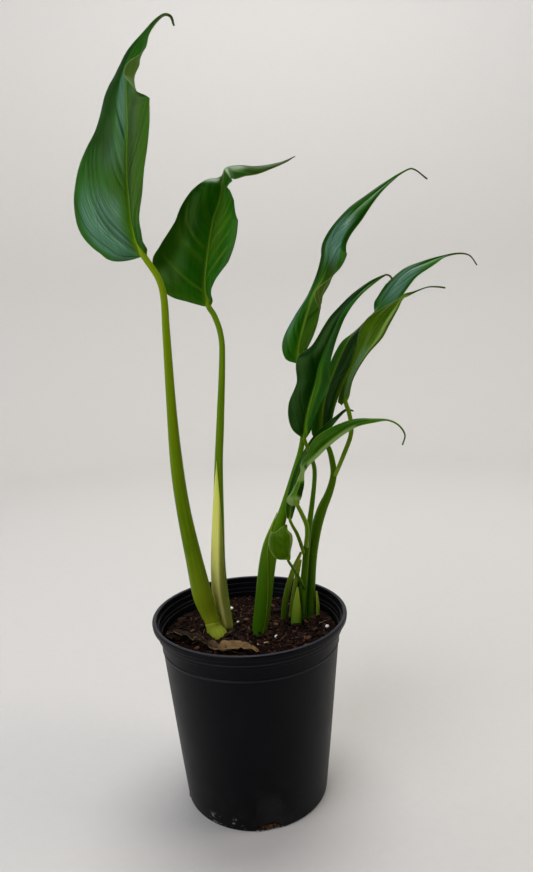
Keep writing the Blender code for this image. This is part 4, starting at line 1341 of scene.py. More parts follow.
def rounded_outline(corners, steps=6):
    """An outline of (radius, height, rounding): each rounded corner is a quadratic curve
    between the places that lie the rounding away from it on its two sides."""
    places = np.asarray([corner[:2] for corner in corners], dtype=float)
    outline = [places[0]]
    for index in range(1, len(corners) - 1):
        here, size = places[index], corners[index][2]
        if size == 0:
            outline.append(here)
            continue
        start = here + unit(places[index - 1] - here) * size
        end = here + unit(places[index + 1] - here) * size
        t = np.linspace(0, 1, steps)[:, None]
        outline.extend((1 - t) ** 2 * start + 2 * t * (1 - t) * here + t**2 * end)
    outline.append(places[-1])
    return np.asarray(outline)


def revolved(outline, around):
    """Rings swept round Z from an outline of radius and height."""
    angle = np.linspace(0, 2 * math.pi, around, endpoint=False)
    radius, height = outline[:, 0, None], outline[:, 1, None]
    return np.stack(
        [radius * np.cos(angle), radius * np.sin(angle), height + 0 * angle], axis=-1
    )


def wall_radius(pot, height):
    """Outer radius of the straight taper at a height."""
    top = pot.height / MM - pot.rim_height / MM
    share = (height - POT_CORNER) / (top - POT_CORNER)
    base, body = pot.base_radius / MM, pot.body_radius / MM
    return base + (body - base) * share


def pot_outline(pot):
    """The pot's outline from the middle of its underside, out, up, over the rim and down inside.

    Each corner is a radius, a height and a rounding.
    """
    height, rim, lip = pot.height / MM, pot.rim_radius / MM, pot.lip_width / MM
    wall = pot.wall / MM
    under_rim = height - pot.rim_height / MM
    ledge = under_rim - pot.ledge_depth / MM
    corners = [
        (POT_MIDDLE, POT_RECESS, 0),
        (POT_RECESS_RADII[0], POT_RECESS, 0.8),
        (POT_RECESS_RADII[1], 0, 0.5),
        (wall_radius(pot, POT_CORNER) - 0.6, 0, 2.2),
        (wall_radius(pot, 40), 40, 0),
        (wall_radius(pot, 90), 90, 0),
    ]
    for depth in (pot.lower_line / MM, pot.upper_line / MM):
        for rise, proud in RAISED_LINE:
            level = height - depth + rise
            corners.append((wall_radius(pot, level) + proud, level, 0.3))
    corners += [
        (wall_radius(pot, under_rim) + 0.1, under_rim - 0.2, 0.5),
        (rim - 0.4, under_rim, 0.7),
        (rim, height - 0.8, 0.9),
        (rim - lip * 0.45, height + 0.05, 0.9),
        (rim - lip, height - 0.7, 0.7),
        (rim - lip - 0.5, ledge + 1.0, 0.4),
        (wall_radius(pot, ledge) - wall, ledge, 0.4),
        (wall_radius(pot, 60) - wall, 60, 0),
        (wall_radius(pot, 4.2) - wall, 4.2, 2.0),
        (wall_radius(pot, POT_CORNER) - 3.6, POT_FLOOR, 0.3),
        (POT_MIDDLE, POT_FLOOR, 0),
    ]
    return rounded_outline(corners)


def drain_turns(pot):
    """The directions of the drain holes."""
    step = 2 * math.pi / max(pot.drain_holes, 1)
    return [pot.drain_turn + index * step for index in range(pot.drain_holes)]


def drain_cutter(direction, pot):
    """A lying round bar through the bottom corner of the pot, as an object."""
    turn = np.linspace(0, 2 * math.pi, CUTTER_FACETS, endpoint=False)[:, None]
    out = np.array([math.cos(direction), math.sin(direction), 0.0])
    side = np.array([-math.sin(direction), math.cos(direction), 0.0])
    circle = pot.drain_radius / MM * (np.cos(turn) * side + np.sin(turn) * np.array([0, 0, 1]))
    centre = out * pot.base_radius / MM - np.array([0, 0, pot.drain_sunk / MM])
    rings = np.stack([centre + circle + out * reach for reach in (-CUTTER_REACH, CUTTER_REACH)])
    cutter = bpy.data.objects.new("drain_cutter", ring_mesh("drain_cutter", rings[None]))
    bpy.context.scene.collection.objects.link(cutter)
    return cutter


def cut_away(mesh, cutters):
    """The mesh less its cutters, which are removed."""
    holder = bpy.data.objects.new("holder", mesh)
    bpy.context.scene.collection.objects.link(holder)
    for cutter in cutters:
        boolean = holder.modifiers.new("hole", "BOOLEAN")
        boolean.operation = "DIFFERENCE"
        boolean.solver = "EXACT"
        boolean.object = cutter
    depsgraph = bpy.context.evaluated_depsgraph_get()
    result = bpy.data.meshes.new_from_object(holder.evaluated_get(depsgraph))
    for thing in (holder, *cutters):
        bpy.data.objects.remove(thing, do_unlink=True)
    return result


def soil_top(x, y, soil):
    """Height of the soil: its level, a tilt down to the left, and noise at three sizes."""
    flat = np.stack([x, y, np.zeros_like(x)], axis=-1)
    height = soil.level / MM + SOIL_TILT * x / SOIL_RADIUS
    for size, share in SOIL_NOISES:
        height = height + soil.roughness / MM * share * place_noise(flat, size, int(size * 10))
    return height


def soil_rings(pot, soil, around):
    """The soil's rings: across its underside, up the wall, then inwards over its rough top."""
    level = soil.level / MM
    edge = wall_radius(pot, level) - pot.wall / MM - SOIL_TOP_GAP
    side = [
        (SOIL_MIDDLE, SOIL_FOOT),
        (40.0, SOIL_FOOT),
        (wall_radius(pot, POT_CORNER) - 4.4, SOIL_FOOT),
    ]
    for height in (5.0, 12.0, 60.0, level - 3):
        side.append((wall_radius(pot, height) - pot.wall / MM - SOIL_GAP, height))
    rings = revolved(np.asarray(side), around)
    radii = np.linspace(edge, SOIL_MIDDLE, soil.rings)
    angle = np.linspace(0, 2 * math.pi, around, endpoint=False)[None, :]
    x, y = radii[:, None] * np.cos(angle), radii[:, None] * np.sin(angle)
    top = np.stack([x, y, soil_top(x, y, soil)], axis=-1)
    return np.concatenate([rings, top])


def grain_rings(rows, around):
    """A ball of unit radius as rings from its lower to its upper pole."""
    pole = math.pi / 2 * 0.9
    rise = np.linspace(-pole, pole, rows)[:, None]
    turn = np.linspace(0, 2 * math.pi, around, endpoint=False)[None, :]
    x, y = np.cos(rise) * np.cos(turn), np.cos(rise) * np.sin(turn)
    return np.stack([x, y, np.sin(rise) + 0 * turn], axis=-1)


def turned_by(angles):
    """Rotation matrices for angles about X, Y and Z, in that order."""
    about = []
    for axis in range(3):
        first, second = (axis + 1) % 3, (axis + 2) % 3
        cosine, sine = np.cos(angles[:, axis]), np.sin(angles[:, axis])
        matrix = np.tile(np.eye(3), (len(angles), 1, 1))
        matrix[:, first, first] = cosine
        matrix[:, second, second] = cosine
        matrix[:, first, second] = -sine
        matrix[:, second, first] = sine
        about.append(matrix)
    return about[2] @ about[1] @ about[0]


def scattered(count, sizes, rng, soil, edge, sink):
    """Random places on the soil and random sizes: returns centres, half sizes and turns."""
    radius = edge * np.sqrt(rng.uniform(0, 1, count))
    angle = rng.uniform(0, 2 * math.pi, count)
    x, y = radius * np.cos(angle), radius * np.sin(angle)
    half = rng.uniform(*sizes, (count, 1)) / 2 * rng.uniform(*GRAIN_SHAPES, (count, 3))
    height = soil_top(x, y, soil) + half[:, 2] * sink
    lean = GRAIN_LEAN
    turns = rng.uniform((-lean, -lean, 0), (lean, lean, 2 * math.pi), (count, 3))
    return np.stack([x, y, height], axis=-1), half, turns


def many_grains(name, grains, rng, finish, nodes, slot, rows=4, around=6, rough=0.25):
    """Grains joined in one piece: a rough unit ball for each, stretched, turned and placed.

    grains holds their centres, half sizes and turns.
    """
    centres, half, turns = grains
    ball = grain_rings(rows, around).reshape(-1, 3)
    count, size = len(centres), len(ball)
    bumps = 1 + rough * rng.uniform(-1, 1, (count, size, 1))
    stretched = ball[None] * bumps * half[:, None]
    places = stretched @ turned_by(turns).transpose(0, 2, 1) + centres[:, None]
    mesh = ring_mesh(name, places.reshape(count, rows, around, 3))
    shade = rng.uniform(0, 1, (count, 1)).repeat(size, axis=1)
    finish_piece(name, mesh, [finish], nodes, {"shade": shade})


# ---- finishes

# Greens of a leaf. Dark and fresh are its two main ones, a bluish green is painted sheen laid
# into the colour, glint tints its shine and through is the light that comes through from behind.
# Shade colours the patches of painted shade and also darkens streaks. On the upper faces the vein
# green is painted shade in the pressed creases, while the underside's is a lighter vein. The rest
# are named for the marks and patches that they colour.
MATURE_GREENS = {
    "dark": "124002",
    "fresh": "1f5c04",
    "shade": "041e00",
    "pale": "4c680e",
    "bronze": "30420a",
    "streak": "2f6a08",
    "vein_and_crease_shade": "082802",
    "midrib": "64861a",
    "margin": "6f8f2c",
    "tip": "3a3a14",
    "wax": "6c9286",
    "glint": "a4e078",
    "through": "4f9a04",
}
YOUNG_GREENS = {
    **MATURE_GREENS,
    "dark": "2a5804",
    "fresh": "457806",
    "streak": "5a8a0a",
    "vein_and_crease_shade": "2c5a04",
    "pale": "86965c",
}
NEWEST_GREENS = {
    **YOUNG_GREENS,
    "dark": "3c5c02",
    "fresh": "5c8206",
    "streak": "74920c",
    "pale": "8a9a5a",
    "shade": "1c3a00",
}
UNDERSIDE_GREENS = {
    "dark": "3f6414",
    "fresh": "557c22",
    "shade": "2c4a0c",
    "pale": "6a8244",
    "bronze": "465c14",
    "streak": "658a34",
    "vein_and_crease_shade": "7a9a44",
    "midrib": "7f9c48",
    "margin": "98ac60",
    "tip": "4a4a20",
    "wax": "5a7450",
    "glint": "d0e6c0",
    "through": "5f8c10",
}

# Light caught on the pot's raised lines and on its rim: height in metres, strength.
POT_GLINTS = ((0.1362, 0.35), (0.1502, 0.35), (0.1600, 0.8))
POT_GLINT_HALF_WIDTH = 0.0005


def linear(hex_colour):
    """A linear RGBA colour from an sRGB hex value such as "2a5a1c"."""
    shares = [int(hex_colour[k : k + 2], 16) / 255 for k in (0, 2, 4)]
    return (*(s / 12.92 if s <= 0.04045 else ((s + 0.055) / 1.055) ** 2.4 for s in shares), 1.0)


def add_node(tree, kind, settings=None, inputs=None):
    """Adds a node with its settings; an input takes a number, a colour or another node's socket."""
    added = tree.nodes.new(kind)
    for key, value in (settings or {}).items():
        setattr(added, key, value)
    for key, value in (inputs or {}).items():
        if isinstance(value, bpy.types.NodeSocket):
            tree.links.new(value, added.inputs[key])
        else:
            added.inputs[key].default_value = value
    return added


def fresh_material(name):
    """An empty node material: its tree and the socket that takes its shader."""
    finish = bpy.data.materials.new(name)
    finish.use_nodes = True
    finish.node_tree.nodes.clear()
    output = add_node(finish.node_tree, "ShaderNodeOutputMaterial")
    return finish.node_tree, output.inputs["Surface"]


def principled(tree, colour, roughness, shine, **inputs):
    """A principled shader; other inputs are given by name, with _ for each space."""
    given = {name.replace("_", " "): value for name, value in inputs.items()}
    given = {"Base Color": colour, "Roughness": roughness, "Specular IOR Level": shine, **given}
    return add_node(tree, "ShaderNodeBsdfPrincipled", None, given).outputs[0]


def mark(tree, name):
    """A number stored on the piece for each place."""
    return add_node(tree, "ShaderNodeAttribute", {"attribute_name": name}).outputs["Fac"]


def calculated(tree, operation, *values):
    """The result of a math node on numbers and other nodes' sockets."""
    settings = {"operation": operation}
    return add_node(tree, "ShaderNodeMath", settings, dict(enumerate(values))).outputs[0]


def scaled(tree, value, factor, add=0.0, clamp=True):
    """A number times a factor plus an offset, kept between 0 and 1 unless told otherwise."""
    settings = {"operation": "MULTIPLY_ADD", "use_clamp": clamp}
    return add_node(tree, "ShaderNodeMath", settings, {0: value, 1: factor, 2: add}).outputs[0]


def layered(tree, hex_colour, *layers):
    """A colour with others laid over it in turn: each has a share, a strength and a hex value."""
    colour = linear(hex_colour)
    for share, strength, layer_colour in layers:
        inputs = {"Factor": scaled(tree, share, strength), 6: colour, 7: linear(layer_colour)}
        colour = add_node(tree, "ShaderNodeMix", {"data_type": "RGBA"}, inputs).outputs[2]
    return colour


def object_place(tree):
    """The place in the object's own space."""
    return add_node(tree, "ShaderNodeTexCoord").outputs["Object"]


def distance_along(tree, axis):
    """How far the place lies along one axis of the object's own space."""
    split = add_node(tree, "ShaderNodeSeparateXYZ", None, {"Vector": object_place(tree)})
    return split.outputs[axis]


def noise(tree, place, scale, detail, roughness=0.5):
    """Noise over places, from 0 to 1."""
    inputs = {"Vector": place, "Scale": scale, "Detail": detail, "Roughness": roughness}
    return add_node(tree, "ShaderNodeTexNoise", None, inputs).outputs["Fac"]


def object_noise(tree, size, detail=3.0, roughness=0.5, stretch=(1, 1, 1)):
    """Noise in the object's own space, with grains of the given size in metres."""
    inputs = {"Vector": object_place(tree), "Scale": stretch}
    place = add_node(tree, "ShaderNodeMapping", None, inputs).outputs[0]
    return noise(tree, place, 0.5 / size, detail, roughness)


def marked_noise(tree, first, second, first_size, second_size, detail=3.0):
    """Noise over two stored distances in millimetres, with its own grain size along each."""
    inputs = {
        "X": scaled(tree, mark(tree, first), 1 / first_size, clamp=False),
        "Y": scaled(tree, mark(tree, second), 1 / second_size, clamp=False),
    }
    place = add_node(tree, "ShaderNodeCombineXYZ", None, inputs).outputs[0]
    return noise(tree, place, 1.0, detail)


def banded(tree, value, low, high):
    """0 at low and beyond it, 1 at high and beyond it, a straight ramp between."""
    inputs = {"Value": value, "From Min": low, "From Max": high}
    return add_node(tree, "ShaderNodeMapRange", {"clamp": True}, inputs).outputs[0]


def bump(tree, height, depth):
    """A bump of the given depth in metres."""
    inputs = {"Height": height, "Distance": depth, "Strength": 1.0}
    return add_node(tree, "ShaderNodeBump", None, inputs).outputs["Normal"]


def leaf_colour(tree, greens, patches, streaks):
    """A leaf's green in soft patches, with its marks and toned patches laid over it in turn,
    painted sheen and painted shade among them.
    """
    lines = marked_noise(tree, "across", "along", 1.3, 70.0)
    # streaks that break the painted sheen into lines along the side veins
    painted_sheen_streaks = scaled(tree, banded(tree, streaks, 0.4, 0.62), 0.75, 0.25)
    return layered(
        tree,
        greens["dark"],
        (patches, 1.0, greens["fresh"]),
        (banded(tree, streaks, 0.42, 0.7), 0.35, greens["streak"]),
        # pale patches: paler tissue in some places, painted sheen in others
        (mark(tree, "pale"), 1.0, greens["pale"]),
        (mark(tree, "bronze"), 0.8, greens["bronze"]),
        # painted sheen: a bluish highlight laid into the colour, streaky
        (calculated(tree, "MULTIPLY", mark(tree, "wax"), painted_sheen_streaks), 1.0, greens["wax"]),
        (banded(tree, lines, 0.5, 0.7), 0.35, greens["streak"]),
        (banded(tree, lines, 0.45, 0.3), 0.35, greens["shade"]),
        # painted shade in the pressed creases on the upper faces; a lighter vein on the underside
        (mark(tree, "vein_and_crease_shade"), 0.75, greens["vein_and_crease_shade"]),
        (mark(tree, "light_vein"), 0.45, greens["midrib"]),
        (mark(tree, "midrib"), 0.8, greens["midrib"]),
        # painted shade: darker patches where the blade lies in shadow
        (mark(tree, "deep"), 0.9, greens["shade"]),
        (mark(tree, "margin"), 0.6, greens["margin"]),
        (banded(tree, mark(tree, "towards_tip"), 0.84, 0.96), 0.6, greens["tip"]),
    )


def leaf_material(name, greens, roughness, shine, through_light):
    """A leaf face: green in soft patches, streaked along its side veins, duller where it is
    bronze, and with some of the light coming through from behind."""
    tree, surface = fresh_material(name)
    patches = banded(tree, object_noise(tree, 0.016), 0.35, 0.7)
    streaks = marked_noise(tree, "phase", "across", 1.1, 16.0)
    fine = scaled(tree, object_noise(tree, 0.0006, 2.0), 0.25)
    face = principled(
        tree,
        leaf_colour(tree, greens, patches, streaks),
        scaled(tree, patches, 0.08, roughness),
        scaled(tree, mark(tree, "bronze"), -0.8 * shine, shine),
        IOR=1.45,
        Specular_Tint=linear(greens["glint"]),
        Normal=bump(tree, calculated(tree, "MULTIPLY_ADD", streaks, 0.6, fine), 0.00012),
    )
    light = {"Color": linear(greens["through"])}
    lit_through = add_node(tree, "ShaderNodeBsdfTranslucent", None, light).outputs[0]
    both = {0: through_light, 1: face, 2: lit_through}
    tree.links.new(add_node(tree, "ShaderNodeMixShader", None, both).outputs[0], surface)


def stalk_material(name, upper_colour, lower_colour, root_colour, line_colour):
    """A living stalk: one green up high, another lower down and a third at the root, with fine
    lines along it, smooth and slightly glossy."""
    tree, surface = fresh_material(name)
    lines = marked_noise(tree, "turn", "down", 0.045, 45.0, 2.0)
    rooted = mark(tree, "towards_root")
    green = layered(
        tree,
        upper_colour,
        (banded(tree, rooted, 0.05, 0.75), 1.0, lower_colour),
        (banded(tree, rooted, 0.72, 0.95), 1.0, root_colour),
        (banded(tree, lines, 0.45, 0.75), 0.45, line_colour),
        (banded(tree, object_noise(tree, 0.006), 0.5, 0.85), 0.25, upper_colour),
    )
    skin = principled(
        tree,
        green,
        0.42,
        0.13,
        IOR=1.42,
        Specular_Tint=linear("d4e68c"),
        Subsurface_Weight=0.08,
        Subsurface_Radius=(0.6, 1.0, 0.2),
        Subsurface_Scale=0.002,
        Normal=bump(tree, lines, 0.0001),
    )
    tree.links.new(skin, surface)


def sheath_material(name, foot_colour, tip_colour, line_colour, edge_colour, painted_right_shade):
    """A thin sheath: one colour at its foot, another upwards and a darker third round its right
    side as painted shade, ribbed with fine lines, with a dry edge."""
    tree, surface = fresh_material(name)
    lines = marked_noise(tree, "across", "down", 0.8, 40.0, 2.0)
    colour = layered(
        tree,
        foot_colour,
        (banded(tree, mark(tree, "towards_root"), 0.9, 0.1), 1.0, tip_colour),
        (banded(tree, lines, 0.45, 0.75), 0.5, line_colour),
        # painted shade round the right side, away from the key light
        (banded(tree, mark(tree, "across"), 2.0, 4.0), 0.8, painted_right_shade),
        (mark(tree, "margin"), 0.6, edge_colour),
    )
    tint, ribs = linear("dcec98"), bump(tree, lines, 0.00012)
    tree.links.new(principled(tree, colour, 0.5, 0.12, Specular_Tint=tint, Normal=ribs), surface)


def pot_material():
    """Injection-moulded polypropylene, black: a fine spark-eroded grain that spreads the light
    to a soft bluish sheen, faint dust low down, light on its raised lines and rim, and pale
    scuffs near the foot."""
    tree, surface = fresh_material("moulded_polypropylene")
    aside, height = distance_along(tree, "X"), distance_along(tree, "Z")
    cloud = object_noise(tree, 0.012, 5.0, 0.6)
    low = banded(tree, height, 0.05, 0.0)
    dust = calculated(tree, "MULTIPLY", low, banded(tree, cloud, 0.5, 0.9))
    layers = [(banded(tree, cloud, 0.4, 0.75), 1.0, "050507"), (dust, 0.35, "4a4640")]
    for level, strength in POT_GLINTS:
        line = calculated(tree, "COMPARE", height, level, POT_GLINT_HALF_WIDTH)
        layers.append((line, strength, "34343a"))
    worn = banded(tree, object_noise(tree, 0.0022, 4.0, 0.65, (1, 1, 2.2)), 0.6, 0.66)
    for edge in (
        banded(tree, aside, -0.040, -0.036),
        banded(tree, aside, -0.008, -0.012),
        banded(tree, height, 0.013, 0.011),
    ):
        worn = calculated(tree, "MULTIPLY", worn, edge)
    skin = principled(
        tree,
        layered(tree, "020203", *layers, (worn, 0.6, "a8a690")),
        scaled(tree, cloud, 0.18, 0.34),
        0.11,
        IOR=1.49,
        Specular_Tint=linear("dfe6f5"),
        Normal=bump(tree, object_noise(tree, 0.0007, 2.0), 0.00006),
    )
    tree.links.new(skin, surface)


def earth_material(name, dark, light, bright, size):
    """Damp bark and peat: near-black brown with redder bits, rough and hardly shiny."""
    tree, surface = fresh_material(name)
    grains = object_noise(tree, size, 6.0, 0.65)
    specks = object_noise(tree, size * 0.6, 2.0)
    colour = layered(
        tree,
        dark,
        (banded(tree, grains, 0.42, 0.62), 1.0, light),
        (banded(tree, specks, 0.66, 0.74), 1.0, bright),
    )
    roughness, clods = scaled(tree, grains, 0.5, 0.55), bump(tree, grains, 0.0008)
    tree.links.new(principled(tree, colour, roughness, 0.05, Normal=clods), surface)


def grain_material(name, dark, light, bright, roughness, size):
    """Loose bits: each has its own shade between the given colours, mottled a little."""
    tree, surface = fresh_material(name)
    mottle = object_noise(tree, size, 4.0)
    shade = mark(tree, "shade")
    colour = layered(
        tree,
        dark,
        (banded(tree, shade, 0.0, 0.6), 1.0, light),
        (banded(tree, shade, 0.8, 0.97), 1.0, bright),
        (mottle, 0.5, dark),
    )
    pits = bump(tree, mottle, 0.0004)
    tree.links.new(principled(tree, colour, roughness, 0.1, Normal=pits), surface)


def dry_leaf_material():
    """Dead leaf, papery: blotched tan and brown with darker lines, pale margins that are a painted
    highlight where its curled edges catch the light, and one darker end, with little gloss."""
    tree, surface = fresh_material("dry_leaf_tissue")
    lines = marked_noise(tree, "phase", "across", 1.2, 10.0)
    colour = layered(
        tree,
        "33251a",
        (banded(tree, object_noise(tree, 0.005, 5.0), 0.35, 0.7), 1.0, "866a40"),
        (banded(tree, lines, 0.5, 0.7), 0.5, "3a2a1a"),
        (banded(tree, mark(tree, "towards_tip"), 0.6, 0.45), 0.95, "22170e"),
        # pale margin: painted highlight where the edges catch the light
        (mark(tree, "margin"), 0.7, "8a7248"),
    )
    veins = bump(tree, lines, 0.0004)
    tree.links.new(principled(tree, colour, 0.8, 0.2, Normal=veins), surface)


def backdrop_material():
    """Matt pale paper for the floor and the wall, darker on the side behind the camera, so that
    the front of the plant mirrors a dim room and keeps its depth."""
    tree, surface = fresh_material("pale_paper")
    colour = layered(
        tree,
        "c8c6c2",
        (object_noise(tree, 0.004), 0.5, "d0cecb"),
        (banded(tree, distance_along(tree, "Y"), -0.6, -1.5), 1.0, "3c3b3a"),
    )
    tree.links.new(principled(tree, colour, 0.85, 0.2), surface)


def make_finishes():
    """Every material, named for what it is."""
    leaf_material("mature_leaf_cuticle", MATURE_GREENS, 0.28, 0.28, 0.08)
    leaf_material("young_leaf_cuticle", YOUNG_GREENS, 0.34, 0.22, 0.15)
    leaf_material("newest_leaf_cuticle", NEWEST_GREENS, 0.34, 0.22, 0.15)
    leaf_material("leaf_underside", UNDERSIDE_GREENS, 0.5, 0.14, 0.15)
    stalk_material("olive_stalk_skin", "748c0a", "4a6404", "808c1c", "748c14")
    stalk_material("pale_collar_skin", "7c8820", "8c9630", "a4a84c", "9ca448")
    stalk_material("green_stalk_skin", "5c780a", "56760c", "80982c", "789c1c")
    stalk_material("deep_stalk_skin", "446404", "3e6404", "285002", "587c0c")
    sheath_material("pale_sheath_tissue", "fcf68c", "ccd450", "fcf6a4", "a4b044", "64740c")
    sheath_material("green_sheath_tissue", "2c5002", "6c8c0c", "406404", "a0ac38", "2c5002")
    sheath_material("old_leaf_base_tissue", "3a6408", "90a430", "6a8c24", "a8b45c", "2c5002")
    pot_material()
    earth_material("damp_potting_mix", "0a0504", "1f110b", "5a3826", 0.0022)
    grain_material("peat_and_bark_crumbs", "0e0705", "25140d", "6a4630", 0.85, 0.0015)
    grain_material("washed_out_coir", "2e2016", "463020", "5e4430", 0.85, 0.0015)
    grain_material("bark_chips", "140b07", "2c1a11", "6a4834", 0.8, 0.002)
    grain_material("root_fibres", "3a2a1c", "6b5238", "a98f68", 0.8, 0.002)
    grain_material("perlite", "cfcabd", "e8e4da", "f4f2ec", 0.9, 0.0006)
    grain_material("pale_twig_wood", "8c7350", "b39a72", "cbb890", 0.8, 0.001)
    dry_leaf_material()
    backdrop_material()


# ---- settings


def measure(name, description, default, unit="LENGTH"):
    """A setting with a unit: metres unless told otherwise."""
    return bpy.props.FloatProperty(
        name=name, description=description, default=default, unit=unit
    )


def whole(name, description, default, least=0):
    """A setting that is a whole number."""
    return bpy.props.IntProperty(name=name, description=description, default=default, min=least)


class MonsteraPotSettings(bpy.types.PropertyGroup):
    """Sizes of the moulded nursery pot."""

    height: measure("Height", "Height of the pot", 0.160)
    rim_radius: measure("Rim radius", "Outer radius of the rolled rim", 0.0825)
    rim_height: measure("Rim height", "Height of the rim's outer face", 0.005)
    body_radius: measure("Body radius", "Outer radius just under the rim", 0.0768)
    base_radius: measure("Base radius", "Outer radius over the bottom corner", 0.0615)
    lip_width: measure("Lip width", "Width of the rim seen from above", 0.0037)
    wall: measure("Wall", "Thickness of the wall", 0.0012)
    upper_line: measure("Upper line", "Depth of the first raised line below the top", 0.010)
    lower_line: measure("Lower line", "Depth of the second raised line below the top", 0.024)
    ledge_depth: measure("Ledge depth", "Depth of the inner step under the rim", 0.0085)
    drain_holes: whole("Drain holes", "Number of holes round the bottom corner", 4, 1)
    drain_radius: measure("Drain radius", "Radius of the arched drain holes", 0.0125)
    drain_sunk: measure("Drain depth", "How far each hole's centre lies under the pot", 0.0045)
    drain_turn: bpy.props.FloatProperty(
        name="Drain turn",
        description="Direction of the first drain hole",
        default=math.radians(-80.5),
        subtype="ANGLE",
    )
    steps: whole("Steps", "Facets round the pot", 240, 24)


class MonsteraSoilSettings(bpy.types.PropertyGroup):
    """Level, roughness and loose bits of the potting mix."""

    level: measure("Level", "Mean height of the soil", 0.1410)
    roughness: measure("Roughness", "Height of the clods", 0.0017)
    rings: whole("Rings", "Rings of the top surface", 120, 8)
    crumbs: whole("Crumbs", "Small crumbs", 2200)
    chips: whole("Chips", "Bark chips", 240)
    fibres: whole("Fibres", "Root fibres", 60, 1)
    seed: whole("Seed", "Changes the random scatter", 7)


class MonsteraLeafSettings(bpy.types.PropertyGroup):
    """Build of the living leaf blades."""

    thickness: measure("Thickness", "Thickness of a blade", 0.00045)
    margin: measure("Pale margin", "Width of the pale margin", 0.0008)
    quilting: measure("Quilting", "How far a blade swells between veins", 0.0006)
    stalk_sides: whole("Stalk sides", "Facets round a stalk", 28, 6)


class MonsteraStageSettings(bpy.types.PropertyGroup):
    """Floor, light and camera."""

    floor_radius: measure("Floor radius", "Radius of the round floor and wall", 2.2)
    wall_height: measure("Wall height", "Height of the wall round the floor", 2.6)
    key_power: measure("Key light", "Power of the large light on the left", 46.0, "POWER")
    fill_power: measure("Fill light", "Power of the light from the right", 9.0, "POWER")
    top_power: measure("Top light", "Power of the light from above", 39.0, "POWER")
    sky: bpy.props.FloatProperty(
        name="Sky", description="Strength of the even light from all round", default=0.08, min=0
    )
    lens: measure("Lens", "Focal length of the camera", 0.02642)


# ---- stage and operators

# Each light's name, place, target, size and colour, in the order key, fill, top.
LIGHTS = (
    ("key_light", (-1.3, -1.4, 1.1), (0, 0, 0.36), 2.2, "f4f6ff"),
    ("fill_light", (1.6, -0.2, 1.0), (0, 0, 0.3), 0.9, "fff3e6"),
    ("top_light", (0.1, 0.7, 2.3), (0, 1.2, 0.3), 1.6, "ffffff"),
)
SKY_COLOUR = "eef2f8"
FLOOR_SWEEP = 0.7  # radius of the sweep between floor and wall
SENSOR_WIDTH = 36
CAMERA_PLACE = (0.02085, -0.520, 0.38536)
CAMERA_RIGHT = (0.99903, -0.00635, -0.04360)  # the direction to the right of the view
CAMERA_BACK = (0.0, -0.98955, 0.14420)  # the direction away from the plant


class MONSTERA_OT_finishes(bpy.types.Operator):
    """Make every material of the plant, the soil, the pot and the backdrop"""

    bl_idname = "monstera.finishes"
    bl_label = "Finishes"

    def execute(self, context):
        make_finishes()
        return {"FINISHED"}


class MONSTERA_OT_pot(bpy.types.Operator):
    """Build the moulded pot: a revolved outline with arched holes through its bottom corner"""

    bl_idname = "monstera.pot"
    bl_label = "Nursery pot"

    def execute(self, context):
        pot = context.scene.monstera_pot
        body = ring_mesh("nursery_pot_body", revolved(pot_outline(pot), pot.steps)[None])
        mesh = cut_away(body, [drain_cutter(turn, pot) for turn in drain_turns(pot)])
        finish_piece(
            "nursery_pot_shell", mesh, ["moulded_polypropylene"], ["nursery_pot"]
        )
        return {"FINISHED"}


